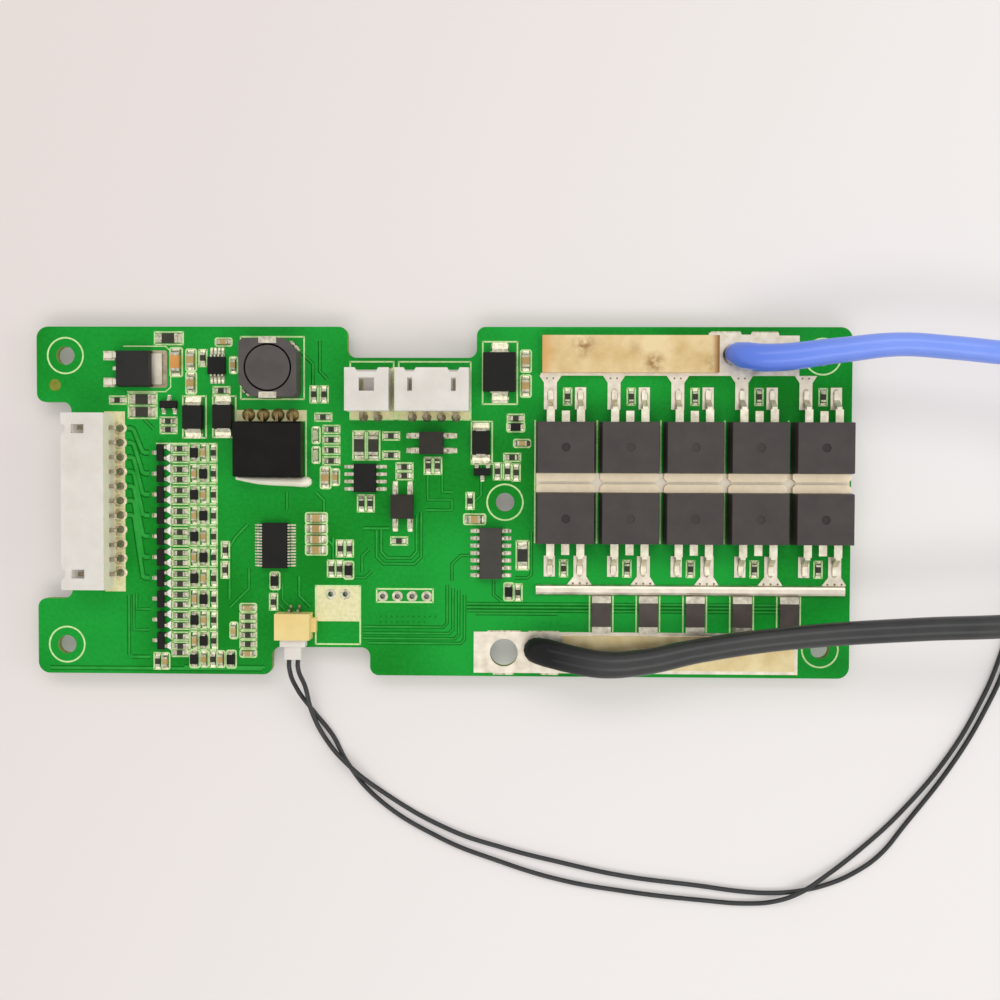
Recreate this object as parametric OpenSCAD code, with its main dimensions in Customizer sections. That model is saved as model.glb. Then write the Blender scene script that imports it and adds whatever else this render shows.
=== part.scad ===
// Battery management board: a printed board with ten power transistors, five
// current shunts, ten balancing channels, plug sockets, soldered leads and a
// temperature sensor on a plug.  Millimetres.  +X runs along the board, +Y to
// the edge with the two small sockets, +Z up.  The origin is under the board's
// centre, on the surface that the pin tails rest on.

/* [Board] */
// Length of the board
board_l = 140; // [138:1:180]
// Width of the board
board_w = 60; // [59:1:80]
// Thickness of the board
board_t = 1.6; // [1:0.1:2.4]
// Radius of the board's corners
corner_r = 2; // [0.5:0.25:4]
// Length of the pin tails under the board
tail_l = 2; // [1.4:0.1:3.5]

/* [Edge notches] */
// Width of the notch for the balance plug
left_notch_w = 34; // [32:0.5:38]
// Depth of the notch for the balance plug
left_notch_d = 6; // [4:0.25:6.5]
// Width of the notch in front of the two small sockets
top_notch_w = 22.2; // [18:0.2:24]
// Depth of the notch in front of the two small sockets
top_notch_d = 5.3; // [4:0.1:5.6]
// Width of the notch beside the sensor plug
bottom_notch_w = 17; // [14:0.5:22]
// Depth of the notch beside the sensor plug
bottom_notch_d = 4.8; // [4:0.1:5.5]
// Radius of the cutter that made the notches
notch_r = 1.5; // [0.5:0.1:2]

/* [Holes] */
// Diameter of the screw holes
screw_hole_d = 3.2; // [2.2:0.1:4.2]
// Distance of the screw holes from the edges
screw_inset = 5; // [4:0.25:5.5]
// Distance of the middle screw hole to the right of the centre
middle_hole_x = 11; // [10:0.1:11.5]
// Diameter of the plated hole for a thick cable
cable_hole_d = 4.8; // [3:0.1:5.4]
// Diameter of the holes for the soldered leads
lead_hole_d = 2.6; // [2.2:0.1:3.2]
// Diameter of the holes for pins
pin_hole_d = 1; // [0.95:0.05:1.2]

/* [Plug sockets] */
// Distance between neighbouring pins
socket_pitch = 2.5; // [2:0.05:2.54]
// Height of the socket housings
socket_h = 6.1; // [5:0.1:8]
// Depth of the socket housings
socket_d = 7.2; // [6:0.1:8]
// Wall of the socket housings
socket_wall = 0.8; // [0.5:0.05:1]
// Distance from the end pin to the housing's outside
socket_end = 2.45; // [2:0.05:2.6]
// Width of the square pins
pin_w = 0.64; // [0.4:0.02:0.64]
// Number of pins in the balance socket
balance_pin_count = 11; // [5:1:11]

/* [Power transistors] */
// Distance between transistor columns
fet_pitch = 10.86; // [10.3:0.02:11]
// Width of the moulded body
fet_w = 10.1; // [8.5:0.1:10.2]
// Length of the moulded body
fet_l = 8.8; // [7.5:0.1:8.9]
// Height of the moulded body
fet_h = 4.4; // [3.6:0.1:5]
// Inward slope of the body's side walls
fet_draft = 0.33; // [0.1:0.01:0.6]
// Thickness of the cooling tab
tab_t = 1.3; // [0.8:0.1:1.6]
// Bare length of the cooling tab
tab_l = 1.4; // [0.8:0.1:1.5]
// Width of the cooling tab
tab_w = 9.9; // [7:0.1:9.9]
// Width of the legs' shoulders
fet_leg_w = 1.35; // [0.9:0.05:1.5]
// Width of the legs' feet
fet_foot_w = 0.85; // [0.6:0.05:0.9]
// Distance between the legs
fet_leg_pitch = 2.55; // [2.2:0.05:2.8]
// Length of the legs' flat shoulders
fet_shoulder_l = 2.1; // [1.6:0.1:2.4]
// Reach of the legs beyond the body
fet_leg_l = 5.3; // [5:0.1:5.6]

/* [Copper] */
// Thickness of the tinned lands
land_t = 0.15; // [0.1:0.01:0.3]
// Length of the raised copper bar
bar_l = 30; // [20:0.5:31]
// Width of the raised copper bar
bar_w = 6.3; // [4:0.1:7]
// Thickness of the raised copper bar
bar_t = 1.2; // [0.5:0.1:2]
// Thickness of the flat copper strip
strip_t = 0.3; // [0.2:0.05:0.8]
// Height of the solder bar along the sources
solder_bar_h = 0.6; // [0.3:0.1:1.2]

/* [Shunts] */
// Distance between neighbouring shunts
shunt_pitch = 8; // [6:0.1:8.4]
// Length of a shunt with its ends
shunt_l = 6.4; // [5.6:0.1:6.6]
// Width of a shunt
shunt_w = 3.2; // [2:0.1:3.6]
// Height of a shunt
shunt_h = 0.7; // [0.5:0.05:1.2]

/* [Inductor] */
// Width of the square ferrite block
choke_w = 9.8; // [9:0.1:10.6]
// Height of the ferrite block
choke_h = 4.5; // [3:0.1:6]
// Diameter of the round drum in the block
drum_d = 7.5; // [6:0.1:8.5]

/* [Regulator] */
// Width of the regulator's body
regulator_w = 6.2; // [5.5:0.1:6.8]
// Length of the regulator's body
regulator_l = 5.6; // [5:0.1:6.3]
// Height of the regulator's body
regulator_h = 2.3; // [1.8:0.1:3]

/* [Sealed module] */
// Length of the sealed module
module_l = 11.6; // [9.5:0.1:12]
// Width of the sealed module
module_w = 9.4; // [7:0.1:9.6]
// Height of the sealed module
module_h = 3.5; // [2.5:0.1:6]

/* [Balancing channels] */
// Distance between neighbouring channels
channel_pitch = 3.61; // [3.2:0.01:3.62]
// Number of balancing channels
channel_count = 10; // [4:1:10]

/* [Sensor connector] */
// Width of the sensor socket
sensor_socket_w = 6; // [5.4:0.1:6.2]
// Depth of the sensor socket
sensor_socket_d = 4.5; // [4:0.1:5]
// Height of the sensor socket
sensor_socket_h = 3.5; // [3:0.1:4.5]
// Distance between the two sensor pins
sensor_pitch = 1.5; // [1.2:0.05:1.5]

/* [Leads] */
// Outer diameter of the two power leads
lead_d = 3.9; // [3:0.1:3.9]
// Outer diameter of the two sensor wires
wire_d = 0.8; // [0.6:0.05:0.8]

/* [Hidden] */
$fn = 48;
eps = 0.01;

// The board's edges and faces
left = -board_l / 2;
right = board_l / 2;
back = board_w / 2;
front = -board_w / 2;
under = tail_l;
top = under + board_t;
land_top = top + land_t;

// Holes
header_hole_xs = [60, 62.5, 65, 67.5];
header_hole_y = -16.3;
switch_hole_xs = [51.1, 53.6];
switch_hole_y = -16;

// Sockets: every housing is drawn with its mouth to +Y and its rear on Y = 0
balance_setback = 0.4;
small_setback = 2.1;
pin_drop = 0.9;
pin_z = socket_h / 2;
balance_rear = left + left_notch_d + balance_setback + socket_d;
small_rear = back - top_notch_d - small_setback - socket_d;
top_notch_from_left = 65;
bottom_notch_from_left = 49.3;
top_notch_x = left + top_notch_from_left;
bottom_notch_x = left + bottom_notch_from_left;
two_way_offset = 7.1;
four_way_offset = 3.8;
two_way_x = top_notch_x - two_way_offset;
four_way_x = top_notch_x + four_way_offset;

// Power transistors: two rows stand back to back on the line pair_y
pair_y = 3.4;
tab_gap = 0.22;
fet_count = 5;
fet_body_y = tab_gap + tab_l;
fet_end_y = fet_body_y + fet_l;
fet_leg_t = 0.5;
fet_leg_z = 2;
fet_leg_root = 0.8;
gate_chip_reach = 4.3;
fet_last_x = right - 5.26;
function fet_x(i) = fet_last_x - (fet_count - 1 - i) * fet_pitch;
row_left = fet_x(0) - tab_w / 2;
row_right = fet_x(fet_count - 1) + tab_w / 2;
upper_feet_y = pair_y + fet_end_y;
lower_feet_y = pair_y - fet_end_y;

// Lands along the two long edges and between them
land_edge = 0.6;
source_bar = [row_left, lower_feet_y - fet_leg_l - 3.65,
    row_right - 0.65, lower_feet_y - fet_leg_l - 1.75];
shunt_y = source_bar[1] - 0.05 - shunt_l / 2;
upper_land = [right - 53, upper_feet_y + fet_leg_l + 2.58, right - 9, back - 1];
lower_land = [right - 64.3, front + land_edge, right - 8.8, shunt_y - shunt_l / 2 + 0.12];
shunt_end_l = 1.15;
first_shunt_x = right - 10.4;
function shunt_x(i) = first_shunt_x - i * shunt_pitch;
shunt_count = 5;

// Copper laid on the lands, and the joints and hole beside it
bar_x = upper_land[0] + 0.3;
upper_land_y = (upper_land[1] + upper_land[3]) / 2;
lower_land_y = (lower_land[1] + lower_land[3]) / 2;
lead_joint_blue = [bar_x + bar_l + 2.7, upper_land_y - 0.05];
lead_joint_black = [lower_land[0] + 10.8, lower_land_y + 0.75];
cable_hole = [lower_land[0] + 5.2, lower_land_y - 0.05];
strip_edge = 0.6;
strip_x = lead_joint_black[0] + 4.4;

// Inductor and regulator
choke_at = [left + 41, 22.7];
choke_wide_corner = 2.2;
choke_corner = 0.6;
drum_gap = 0.3;
choke_foot_w = 3;
choke_foot_t = 0.3;
choke_clip_t = 0.25;
choke_clip_l = (choke_w - drum_d) / 2 - drum_gap - 0.05;
regulator_at = [left + 17.35, 22.7];
regulator_tab_t = 0.5;
regulator_tab_w = 5.3;
regulator_tab_l = 1.75;
regulator_leg_w = 0.9;
regulator_leg_pitch = 2.28;

// Integrated circuits: [centre, width across the legs, length, height]
monitor_at = [left + 41.4, -7.6];
monitor_size = [4.4, 7.8, 1.1];
logic_at = [left + 78.6, -8.75];
logic_size = [3.9, 8.7, 1.5];
amplifier_at = [left + 57, 4.1];
amplifier_size = [3.9, 4.9, 1.5];
switcher_at = [left + 31.4, 23.3];
switcher_size = [3, 3, 1];
coupler_size = [4.2, 3.8, 2];
coupler_1_at = [left + 68.4, 10.1];
coupler_2_at = [left + 63.4, -0.8];

// Diodes
big_diode_at = [left + 80, 22.2];
big_diode_size = [5.6, 6.6, 2.3];
mid_diodes = [[left + 27.5, 14.4], [left + 32.65, 14.5]];
mid_diode_size = [3.5, 4, 2.2];
low_diode_at = [left + 76.9, 10.2];
low_diode_size = [3.1, 3.9, 2.1];
plate = 0.2;

// Sealed module
module_at = [left + 40.6, 8.95];
module_pin_pitch = 2.54;
module_pin_y = 14.85;
module_leg_z = 1;
module_leg_t = 0.5;
glue_r = 1.8;

// Balancing channels, the first one nearest to the back edge
channel_y0 = 8.3;
channel_transistor_x = left + 21.6;
channel_resistor_x = left + 24.9;
channel_clamp_xs = [left + 27.4, left + 29];
channel_last_x = left + 30.7;
function channel_y(i) = channel_y0 - i * channel_pitch;

// Chip sizes, smallest first: length, width, end, resistor height, capacitor height
chip_l = [1.6, 2, 3.2];
chip_w = [0.8, 1.25, 1.6];
chip_end = [0.3, 0.4, 0.5];
resistor_h = [0.45, 0.5, 0.55];
capacitor_h = [0.8, 0.9, 1.2];

// Chips that stand alone: distance from the left edge, y, turn, size number
lone_resistors = [
    [23, 28, 0, 2], [18.4, 17.5, 0, 2], [18.4, 15.3, 0, 2], [14.1, 17.35, 0, 0],
    [22.9, 13.75, 0, 0], [22.9, 12.3, 0, 0], [28.9, 24.6, 90, 0], [32.1, 19, 0, 0],
    [48.1, 18.4, 90, 0], [49.85, 18.4, 90, 0], [49.7, 14.5, 0, 0],
    [55.9, 9.65, 90, 2], [58.35, 9.65, 90, 2], [61.4, 11.3, 0, 0], [61.4, 8, 0, 0],
    [63.7, 6, 0, 0], [63.7, 4.5, 0, 0], [67.8, 6.2, 90, 0], [69.4, 6.2, 90, 0],
    [56.3, -0.3, 90, 0], [57.8, -0.3, 90, 0], [62.8, -6.75, 0, 0],
    [79.7, 5.3, 90, 0], [81.4, 5.3, 90, 0], [82.9, 5.1, 90, 0],
    [82.8, 14.4, 0, 0], [82.2, 7.7, 0, 0], [84.05, -9.1, 90, 2],
    [75, 0.2, 90, 0], [52.65, -8.1, 90, 0], [54.2, -8.1, 90, 0],
    [51.1, -11.6, 90, 0], [52.5, -11.6, 90, 0], [41.05, -17.4, 90, 0],
    [32.7, -8.45, 90, 0], [32.65, -11.9, 90, 0], [83.3, -15.5, 90, 0],
    [20.9, -27.8, 90, 0], [24.8, -26.3, 0, 0], [30.5, -27.4, 90, 0]];
lone_capacitors = [
    [24.25, 23.9, 90, 2], [26.85, 24.25, 90, 1], [26.85, 20.3, 90, 1],
    [32.5, 27.35, 0, 0], [34.2, 23.4, 90, 0], [48.45, 11.4, 90, 0],
    [48.45, 8, 90, 0], [50.1, 4.1, 90, 1], [51.8, 4.2, 90, 0],
    [75.8, -2.95, 0, 1], [84.5, 24.15, 90, 1], [84.5, 19.9, 90, 1],
    [83.9, 10.1, 0, 0], [22.25, -27.8, 90, 0], [29, -27.4, 90, 0],
    [31.9, -27.4, 90, 0], [34.15, -22.4, 90, 0], [36.65, -18.4, 0, 0],
    [36.65, -26.35, 0, 0]];
// Stacks of chips: distance from the left edge, first y, pitch, count, size number
resistor_stacks = [[51.1, 12.4, 1.8, 4, 0], [36.65, -19.99, 1.59, 4, 0]];
capacitor_stacks = [[48.5, -2.85, 1.83, 4, 1]];

// Parts that stand alone: distance from the left edge, y, turn
lone_transistors = [[23.05, 16.6, -90], [77.1, 5.2, 90]];
lone_clamps = [[41.3, -13.75, 90], [54.1, -11.85, 90], [27.3, -27.4, 90],
    [33.7, -27.4, 90], [82.8, 12.9, 0], [81.7, -15.4, 90]];
transistor_size = [1.3, 2.9, 1];
clamp_size = [1.25, 1.7, 0.9];

// Sensor socket, plug and bead
sensor_from_left = 44.85;
sensor_from_notch = 3.85;
sensor_at = [left + sensor_from_left, front + bottom_notch_d + sensor_from_notch];
plug_size = [4.3, 3.4, 2.4];
plug_neck = [2.8, 2.2, 2];
plug_in_socket = 2.2;
sensor_axis_z = top + sensor_socket_h / 2;
plug_mouth_y = sensor_at[1] - sensor_socket_d / 2;
plug_head_y = plug_mouth_y + plug_in_socket - plug_size[1];
neck_end_y = plug_head_y - plug_neck[1];
bead_d = 2.2;

// Routes of the leads and wires, chosen by hand
joint_h = 0.65;
lead_z0 = land_top + joint_h;
lead_rise = 1.6;
blue_steps = [
    [1.2, -0.5, 8.2], [4.4, -1, 10], [16.2, 0.1, 12.2], [25, 0.9, 13.2],
    [33, 0.4, 13.5], [41, -0.4, 13.5], [49, -1, 12.4], [56, -1.4, 9.6],
    [62, -1.6, 5.8], [68, -1.7, 2.8], [76, -2.3, 2], [84, -5.8, 2],
    [88.5, -13.3, 2], [88, -22.3, 2]];
black_steps = [
    [1.7, -0.2, 7.6], [5.9, -1.1, 8.6], [11.1, -1.9, 8.8], [17.5, -1.5, 8.8],
    [27.3, 0.6, 9.2], [40.5, 2.8, 10.5], [62.5, 4.9, 13], [75.1, 5.5, 13.5],
    [82.5, 5.9, 12.6], [89.5, 6.3, 9.8], [100.5, 7.5, 3.2], [107.5, 9.3, 2],
    [114.5, 12.7, 2]];
wire_steps_1 = [
    [0.1, -5.6, 2.8], [2.5, -9.7, 0.9], [6, -14.3, 0.4], [8.4, -18.8, 0.4],
    [13.3, -24.8, 0.4], [24.9, -32.2, 0.4], [35.2, -36.2, 0.4], [46, -39.4, 0.4],
    [56.6, -41.2, 0.4], [70.6, -42.7, 0.4], [79.2, -43.2, 0.4], [83.6, -42.6, 0.8],
    [87.6, -40.9, 1.45], [91.8, -38.4, 0.8], [99.1, -32.7, 0.4],
    [105.4, -26.6, 0.4], [113.4, -16.7, 0.4], [118.6, -7.6, 0.4], [121.4, -1, 0.4],
    [124.1, 9, 0.4], [125.7, 20, 0.4], [125.7, 35, 0.4]];
wire_steps_2 = [
    [1.6, -5.3, 3], [2.5, -9.7, 1.95], [4.8, -15, 0.4], [8.4, -18.8, 1.45],
    [14.4, -23.9, 0.4], [26.7, -30.8, 0.4], [36.2, -33.9, 0.4], [46, -36.3, 0.4],
    [56.6, -38.5, 0.4], [70.6, -40.2, 0.4], [77.9, -41.1, 0.4], [82.8, -41.3, 0.4],
    [87.6, -40.9, 0.4], [92.8, -39.6, 0.4], [97.2, -37.6, 0.4], [101.6, -34.4, 0.4],
    [105.8, -29.2, 0.4], [114.6, -17.4, 0.4], [119.8, -8.2, 0.4], [122.5, -2, 0.4],
    [125.3, 9, 0.4], [126.8, 20, 0.4], [126.8, 35, 0.4]];
blue_route = concat(rise(lead_joint_blue), placed(lead_joint_blue, blue_steps));
black_route = concat(rise(lead_joint_black), placed(lead_joint_black, black_steps));
wire_origin = [sensor_at[0], neck_end_y];
wire_route_1 = concat(leave(-1), placed(wire_origin, wire_steps_1));
wire_route_2 = concat(leave(1), placed(wire_origin, wire_steps_2));

// Steps give X and Y from where a route starts and Z from the surface
function placed(at, steps) = [for (s = steps) [at[0] + s[0], at[1] + s[1], s[2]]];

// A lead's first two points stand on its joint
function rise(at) = [for (z = [0, lead_rise]) [at[0], at[1], lead_z0 + z]];

// A wire's first two points run straight out of the plug's neck
function leave(side) = [for (y = [0, -1.5]) [wire_origin[0] + side * sensor_pitch / 2,
    wire_origin[1] + y, sensor_axis_z]];

lead_core_d = 2.2;
lead_core_l = 6;

// ---- plain shapes -------------------------------------------------------

// A box by its middle in X and Y, standing on Z = 0
module block(size) {
    translate([-size[0] / 2, -size[1] / 2, 0]) cube(size);
}

// A flat rectangle from its lowest and highest corners
module field(corners) {
    translate([corners[0], corners[1]])
        square([corners[2] - corners[0], corners[3] - corners[1]]);
}

// A profile in Y and Z, given a width along X about X = 0
module along_x(width, points) {
    translate([-width / 2, 0, 0]) rotate([90, 0, 90]) linear_extrude(width) polygon(points);
}

// A profile in X and Z, given a length along Y about Y = 0
module along_y(length, points) {
    translate([0, length / 2, 0]) rotate([90, 0, 0]) linear_extrude(length) polygon(points);
}

// A moulded chip body: two sloping halves that meet in a band at leg height
module moulded_body(size, lift = 0.1) {
    slope = 0.12;
    band = 0.1;
    half = size[0] / 2;
    middle = (size[2] + lift) / 2;
    along_y(size[1], [[-half + slope, lift], [half - slope, lift],
        [half, middle - band], [half, middle + band], [half - slope, size[2]],
        [-half + slope, size[2]], [-half, middle + band], [-half, middle - band]]);
}

// One gull-wing leg that leaves a body's wall at X = 0 and lands on Z = 0
module gull_leg(reach, width, exit_z, thick = 0.15) {
    knee = reach * 0.3;
    heel = reach * 0.5;
    half = thick / 2;
    along_y(width, [[0, exit_z - half], [knee - half, exit_z - half], [heel - half, 0],
        [reach, 0], [reach, thick], [heel + half, thick], [knee + half, exit_z + half],
        [0, exit_z + half]]);
}

// Two facing rows of legs along Y for a body of the given size
module leg_rows(size, count, pitch, reach, width, lift = 0.1) {
    exit_z = (size[2] + lift) / 2;
    for (side = [0, 1]) rotate(180 * side)
        for (i = [0 : count - 1])
            translate([size[0] / 2, (i - (count - 1) / 2) * pitch, 0])
                gull_leg(reach, width, exit_z);
}

// The cone of solder round a pin, under the board and over it
module pin_solder() {
    translate([0, 0, under - tail_l * 0.55])
        cylinder(h = tail_l * 0.55, r1 = pin_w * 0.75, r2 = pin_hole_d * 0.85);
    translate([0, 0, top]) cylinder(h = 0.5, r1 = pin_hole_d * 0.8, r2 = pin_w * 0.75);
}

// ---- the board ----------------------------------------------------------

module rounded_rectangle(size, r) {
    square([size[0] - 2 * r, size[1]], center = true);
    square([size[0], size[1] - 2 * r], center = true);
    for (x = [-1, 1], y = [-1, 1])
        translate([x * (size[0] / 2 - r), y * (size[1] / 2 - r)]) circle(r);
}

// A milled notch that opens to -Y from Y = 0: round inside and at its lips
module notch(width, depth) {
    difference() {
        union() {
            rounded_rectangle([width, 2 * depth], notch_r);
            translate([-width / 2 - notch_r, -eps]) square([width + 2 * notch_r, notch_r + eps]);
        }
        for (x = [-1, 1]) translate([x * (width / 2 + notch_r), notch_r]) circle(notch_r);
    }
}

module drill(at, d) {
    translate([at[0], at[1], under - eps]) cylinder(h = board_t + 2 * eps, d = d);
}

module pin_drills(count, pitch) {
    for (i = [0 : count - 1])
        translate([(i - (count - 1) / 2) * pitch, -pin_drop, under - top - eps])
            cylinder(h = board_t + 2 * eps, d = pin_hole_d);
}

module at_balance_socket() {
    translate([balance_rear, 0, top]) rotate(90) children();
}

module at_small_socket(x) {
    translate([x, small_rear, top]) children();
}

module circuit_board() {
    color("#1f9a34") difference() {
        translate([0, 0, under]) linear_extrude(board_t) difference() {
            rounded_rectangle([board_l, board_w], corner_r);
            translate([left, 0]) rotate(-90) notch(left_notch_w, left_notch_d);
            translate([top_notch_x, back]) rotate(180) notch(top_notch_w, top_notch_d);
            translate([bottom_notch_x, front]) notch(bottom_notch_w, bottom_notch_d);
        }
        for (x = [-1, 1], y = [-1, 1])
            drill([x * (right - screw_inset), y * (back - screw_inset)], screw_hole_d);
        drill([middle_hole_x, 0], screw_hole_d);
        drill(cable_hole, cable_hole_d);
        drill(lead_joint_blue, lead_hole_d);
        drill(lead_joint_black, lead_hole_d);
        for (x = header_hole_xs) drill([left + x, header_hole_y], pin_hole_d);
        for (x = switch_hole_xs) drill([left + x, switch_hole_y], pin_hole_d);
        at_balance_socket() pin_drills(balance_pin_count, socket_pitch);
        at_small_socket(two_way_x) pin_drills(2, socket_pitch);
        at_small_socket(four_way_x) pin_drills(4, socket_pitch);
        translate([module_at[0], module_pin_y + pin_drop, top])
            pin_drills(4, module_pin_pitch);
    }
}

// ---- copper -------------------------------------------------------------

// Lands of one column: a finger to the source leg and a pad for the gate leg
module upper_column_lands(x) {
    finger_w = 2.2;
    flare = 1.2;
    start_y = upper_feet_y + fet_shoulder_l;
    translate([x, 0]) {
        field([-3.7, start_y, -3.7 + finger_w, upper_land[1] + eps]);
        field([1.6, start_y, 3.5, upper_feet_y + fet_leg_l + 0.6]);
        polygon([[-4.5, upper_land[1] + eps], [-3.7, upper_land[1] - flare],
            [-3.7 + finger_w, upper_land[1] - flare], [-0.7, upper_land[1] + eps]]);
    }
}

module lower_column_lands(x) {
    finger_w = 2.2;
    flare = 1.4;
    start_y = lower_feet_y - fet_shoulder_l;
    translate([x, 0]) {
        field([1.5, source_bar[3] - eps, 1.5 + finger_w, start_y]);
        field([-3.6, lower_feet_y - fet_leg_l - 0.4, -1.7, start_y]);
        polygon([[0.4, source_bar[3] - eps], [2.4 + finger_w, source_bar[3] - eps],
            [1.5 + finger_w, source_bar[3] + flare], [1.5, source_bar[3] + flare]]);
    }
}

module tinned_lands() {
    color("#e6ded0") translate([0, 0, top]) linear_extrude(land_t) difference() {
        union() {
            field(upper_land);
            field(lower_land);
            field(source_bar);
            field([row_left, pair_y - fet_body_y, row_right, pair_y + fet_body_y]);
            for (i = [0 : fet_count - 1]) {
                upper_column_lands(fet_x(i));
                lower_column_lands(fet_x(i));
                translate([fet_x(i), pair_y]) square([tab_w, 2 * fet_end_y - 3], center = true);
            }
            for (i = [0 : shunt_count - 1])
                translate([shunt_x(i), 0]) {
                    field([-shunt_w / 2, lower_land[3] - eps,
                        shunt_w / 2, shunt_y - shunt_l / 2 + shunt_end_l]);
                    field([-shunt_w / 2, shunt_y + shunt_l / 2 - shunt_end_l,
                        shunt_w / 2, source_bar[1] + eps]);
                }
        }
        translate(lead_joint_blue) circle(d = lead_hole_d);
        translate(lead_joint_black) circle(d = lead_hole_d);
        translate(cable_hole) circle(d = cable_hole_d);
    }
}

module copper_bar() {
    color("#e2c88c")
        translate([bar_x, upper_land_y - bar_w / 2, land_top])
            cube([bar_l, bar_w, bar_t]);
}

module copper_strip() {
    color("#d9bd86")
        translate([strip_x, lower_land[1] + strip_edge, land_top])
            cube([lower_land[2] - strip_edge - strip_x,
                lower_land[3] - lower_land[1] - 2 * strip_edge, strip_t]);
}

// A rounded ridge of solder along the source land
module solder_bar() {
    width = source_bar[3] - source_bar[1];
    length = source_bar[2] - source_bar[0];
    color("#e6ded0")
        translate([(source_bar[0] + source_bar[2]) / 2, source_bar[1] + width / 2, land_top])
            along_x(length, [[-width / 2, 0], [width / 2, 0],
                [width / 2 - 0.25, solder_bar_h * 0.7], [width / 2 - 0.6, solder_bar_h],
                [-width / 2 + 0.6, solder_bar_h], [-width / 2 + 0.25, solder_bar_h * 0.7]]);
}

// ---- power transistors --------------------------------------------------

// One leg: a wide shoulder, then a narrow slope down to a foot unless it is cut short
module fet_leg(cut_short) {
    s = fet_shoulder_l;
    heel = s + fet_leg_z * 0.7;
    over = fet_leg_z + fet_leg_t;
    translate([-fet_leg_w / 2, -fet_leg_root, fet_leg_z])
        cube([fet_leg_w, fet_leg_root + s - (cut_short ? 0.3 : 0), fet_leg_t]);
    if (!cut_short) along_x(fet_foot_w, [[s - 0.5, fet_leg_z], [s + 0.1, fet_leg_z],
        [heel, 0], [fet_leg_l, 0], [fet_leg_l, fet_leg_t], [heel + 0.3, fet_leg_t],
        [s + 0.4, over], [s - 0.5, over]]);
}

// Tab with clipped corners and the three legs of one transistor, legs to +Y
module fet_frame() {
    clip = 0.5;
    end_y = tab_gap + tab_l + fet_l * 0.75;
    half = tab_w / 2;
    linear_extrude(tab_t) polygon([[-half, tab_gap + clip], [-half + clip, tab_gap],
        [half - clip, tab_gap], [half, tab_gap + clip], [half, end_y], [-half, end_y]]);
    for (i = [-1, 0, 1]) translate([i * fet_leg_pitch, fet_end_y, 0]) fet_leg(i == 0);
}

// Moulded body with sloping walls, pocketed for the tab and the legs' roots
module fet_body() {
    half = fet_w / 2;
    slope_y = fet_draft / 2;
    step_z = fet_h * 0.35;
    mark_d = 1.5;
    mark_depth = 0.12;
    difference() {
        intersection() {
            translate([0, fet_body_y + fet_l / 2, 0])
                along_y(fet_l, [[-half, 0], [half, 0], [half, step_z],
                    [half - fet_draft, fet_h], [-half + fet_draft, fet_h], [-half, step_z]]);
            translate([0, fet_body_y, 0])
                along_x(fet_w, [[0, 0], [fet_l, 0], [fet_l, step_z],
                    [fet_l - slope_y, fet_h], [slope_y, fet_h], [0, step_z]]);
        }
        fet_frame();
        translate([0, fet_body_y + fet_l / 2, fet_h - mark_depth])
            cylinder(h = 1, d = mark_d);
    }
}

// Places one of the ten: numbers 0 to 4 are the upper row, 5 to 9 the lower
module at_fet(number) {
    translate([fet_x(number % fet_count), pair_y, land_top])
        mirror([0, number < fet_count ? 0 : 1, 0]) children();
}

module mosfet(number) {
    color("#5a5452") at_fet(number) fet_body();
}

module mosfet_frames(first) {
    color("#e0d2bc") for (i = [0 : fet_count - 1]) at_fet(first + i) fet_frame();
}

// ---- shunts -------------------------------------------------------------

module shunt_resistors() {
    color("#37302c") for (i = [0 : shunt_count - 1])
        translate([shunt_x(i), shunt_y, land_top])
            block([shunt_w, shunt_l - 2 * shunt_end_l, shunt_h]);
}

module shunt_ends() {
    color("#ddd6cb") for (i = [0 : shunt_count - 1], side = [-1, 1])
        translate([shunt_x(i), shunt_y + side * (shunt_l - shunt_end_l) / 2, land_top])
            block([shunt_w, shunt_end_l, shunt_h]);
}

// ---- sockets ------------------------------------------------------------

function socket_w(count) = (count - 1) * socket_pitch + 2 * socket_end;

// Angled header pins: out of the rear wall and down through the board
module socket_pins(count) {
    half = pin_w / 2;
    tip_y = socket_d - 1.8;
    for (i = [0 : count - 1]) translate([(i - (count - 1) / 2) * socket_pitch, 0, 0]) {
        along_x(pin_w, [[tip_y, pin_z - half], [tip_y, pin_z + half],
            [-pin_drop - half + 0.3, pin_z + half], [-pin_drop - half, pin_z + half - 0.3],
            [-pin_drop - half, -top], [-pin_drop + half, -top],
            [-pin_drop + half, pin_z - half]]);
        translate([0, -pin_drop, -top]) pin_solder();
    }
}

// Housing open to +Y, with pin holes in its rear wall and slots in its roof
module socket_housing(count, lip_w, slot_w, slot_xs) {
    w = socket_w(count);
    rear = 1.6;
    lip_d = 0.7;
    slot_y = socket_d - 3.9;
    difference() {
        translate([-w / 2, 0, 0]) cube([w, socket_d, socket_h]);
        translate([-w / 2 + socket_wall, rear, socket_wall])
            cube([w - 2 * socket_wall, socket_d, socket_h - 2 * socket_wall]);
        for (x = slot_xs) {
            translate([x - slot_w / 2, slot_y, socket_h - socket_wall - eps])
                cube([slot_w, 2.2, socket_wall + 2 * eps]);
            translate([x, 0, socket_h - socket_wall - eps])
                linear_extrude(socket_wall + 2 * eps)
                    polygon([[-lip_w / 2, socket_d - lip_d], [lip_w / 2, socket_d - lip_d],
                        [lip_w / 2 + 0.4, socket_d + eps], [-lip_w / 2 - 0.4, socket_d + eps]]);
        }
        for (i = [0 : count - 1])
            translate([(i - (count - 1) / 2) * socket_pitch, rear / 2, pin_z - pin_w / 2])
                block([pin_w, rear + 2 * eps, pin_w]);
    }
}

module balance_socket() {
    reach = socket_w(balance_pin_count) / 2 - 2.7;
    color("#e9e6df") at_balance_socket()
        socket_housing(balance_pin_count, 1.2, 1.5, [-reach, reach]);
}

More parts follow.
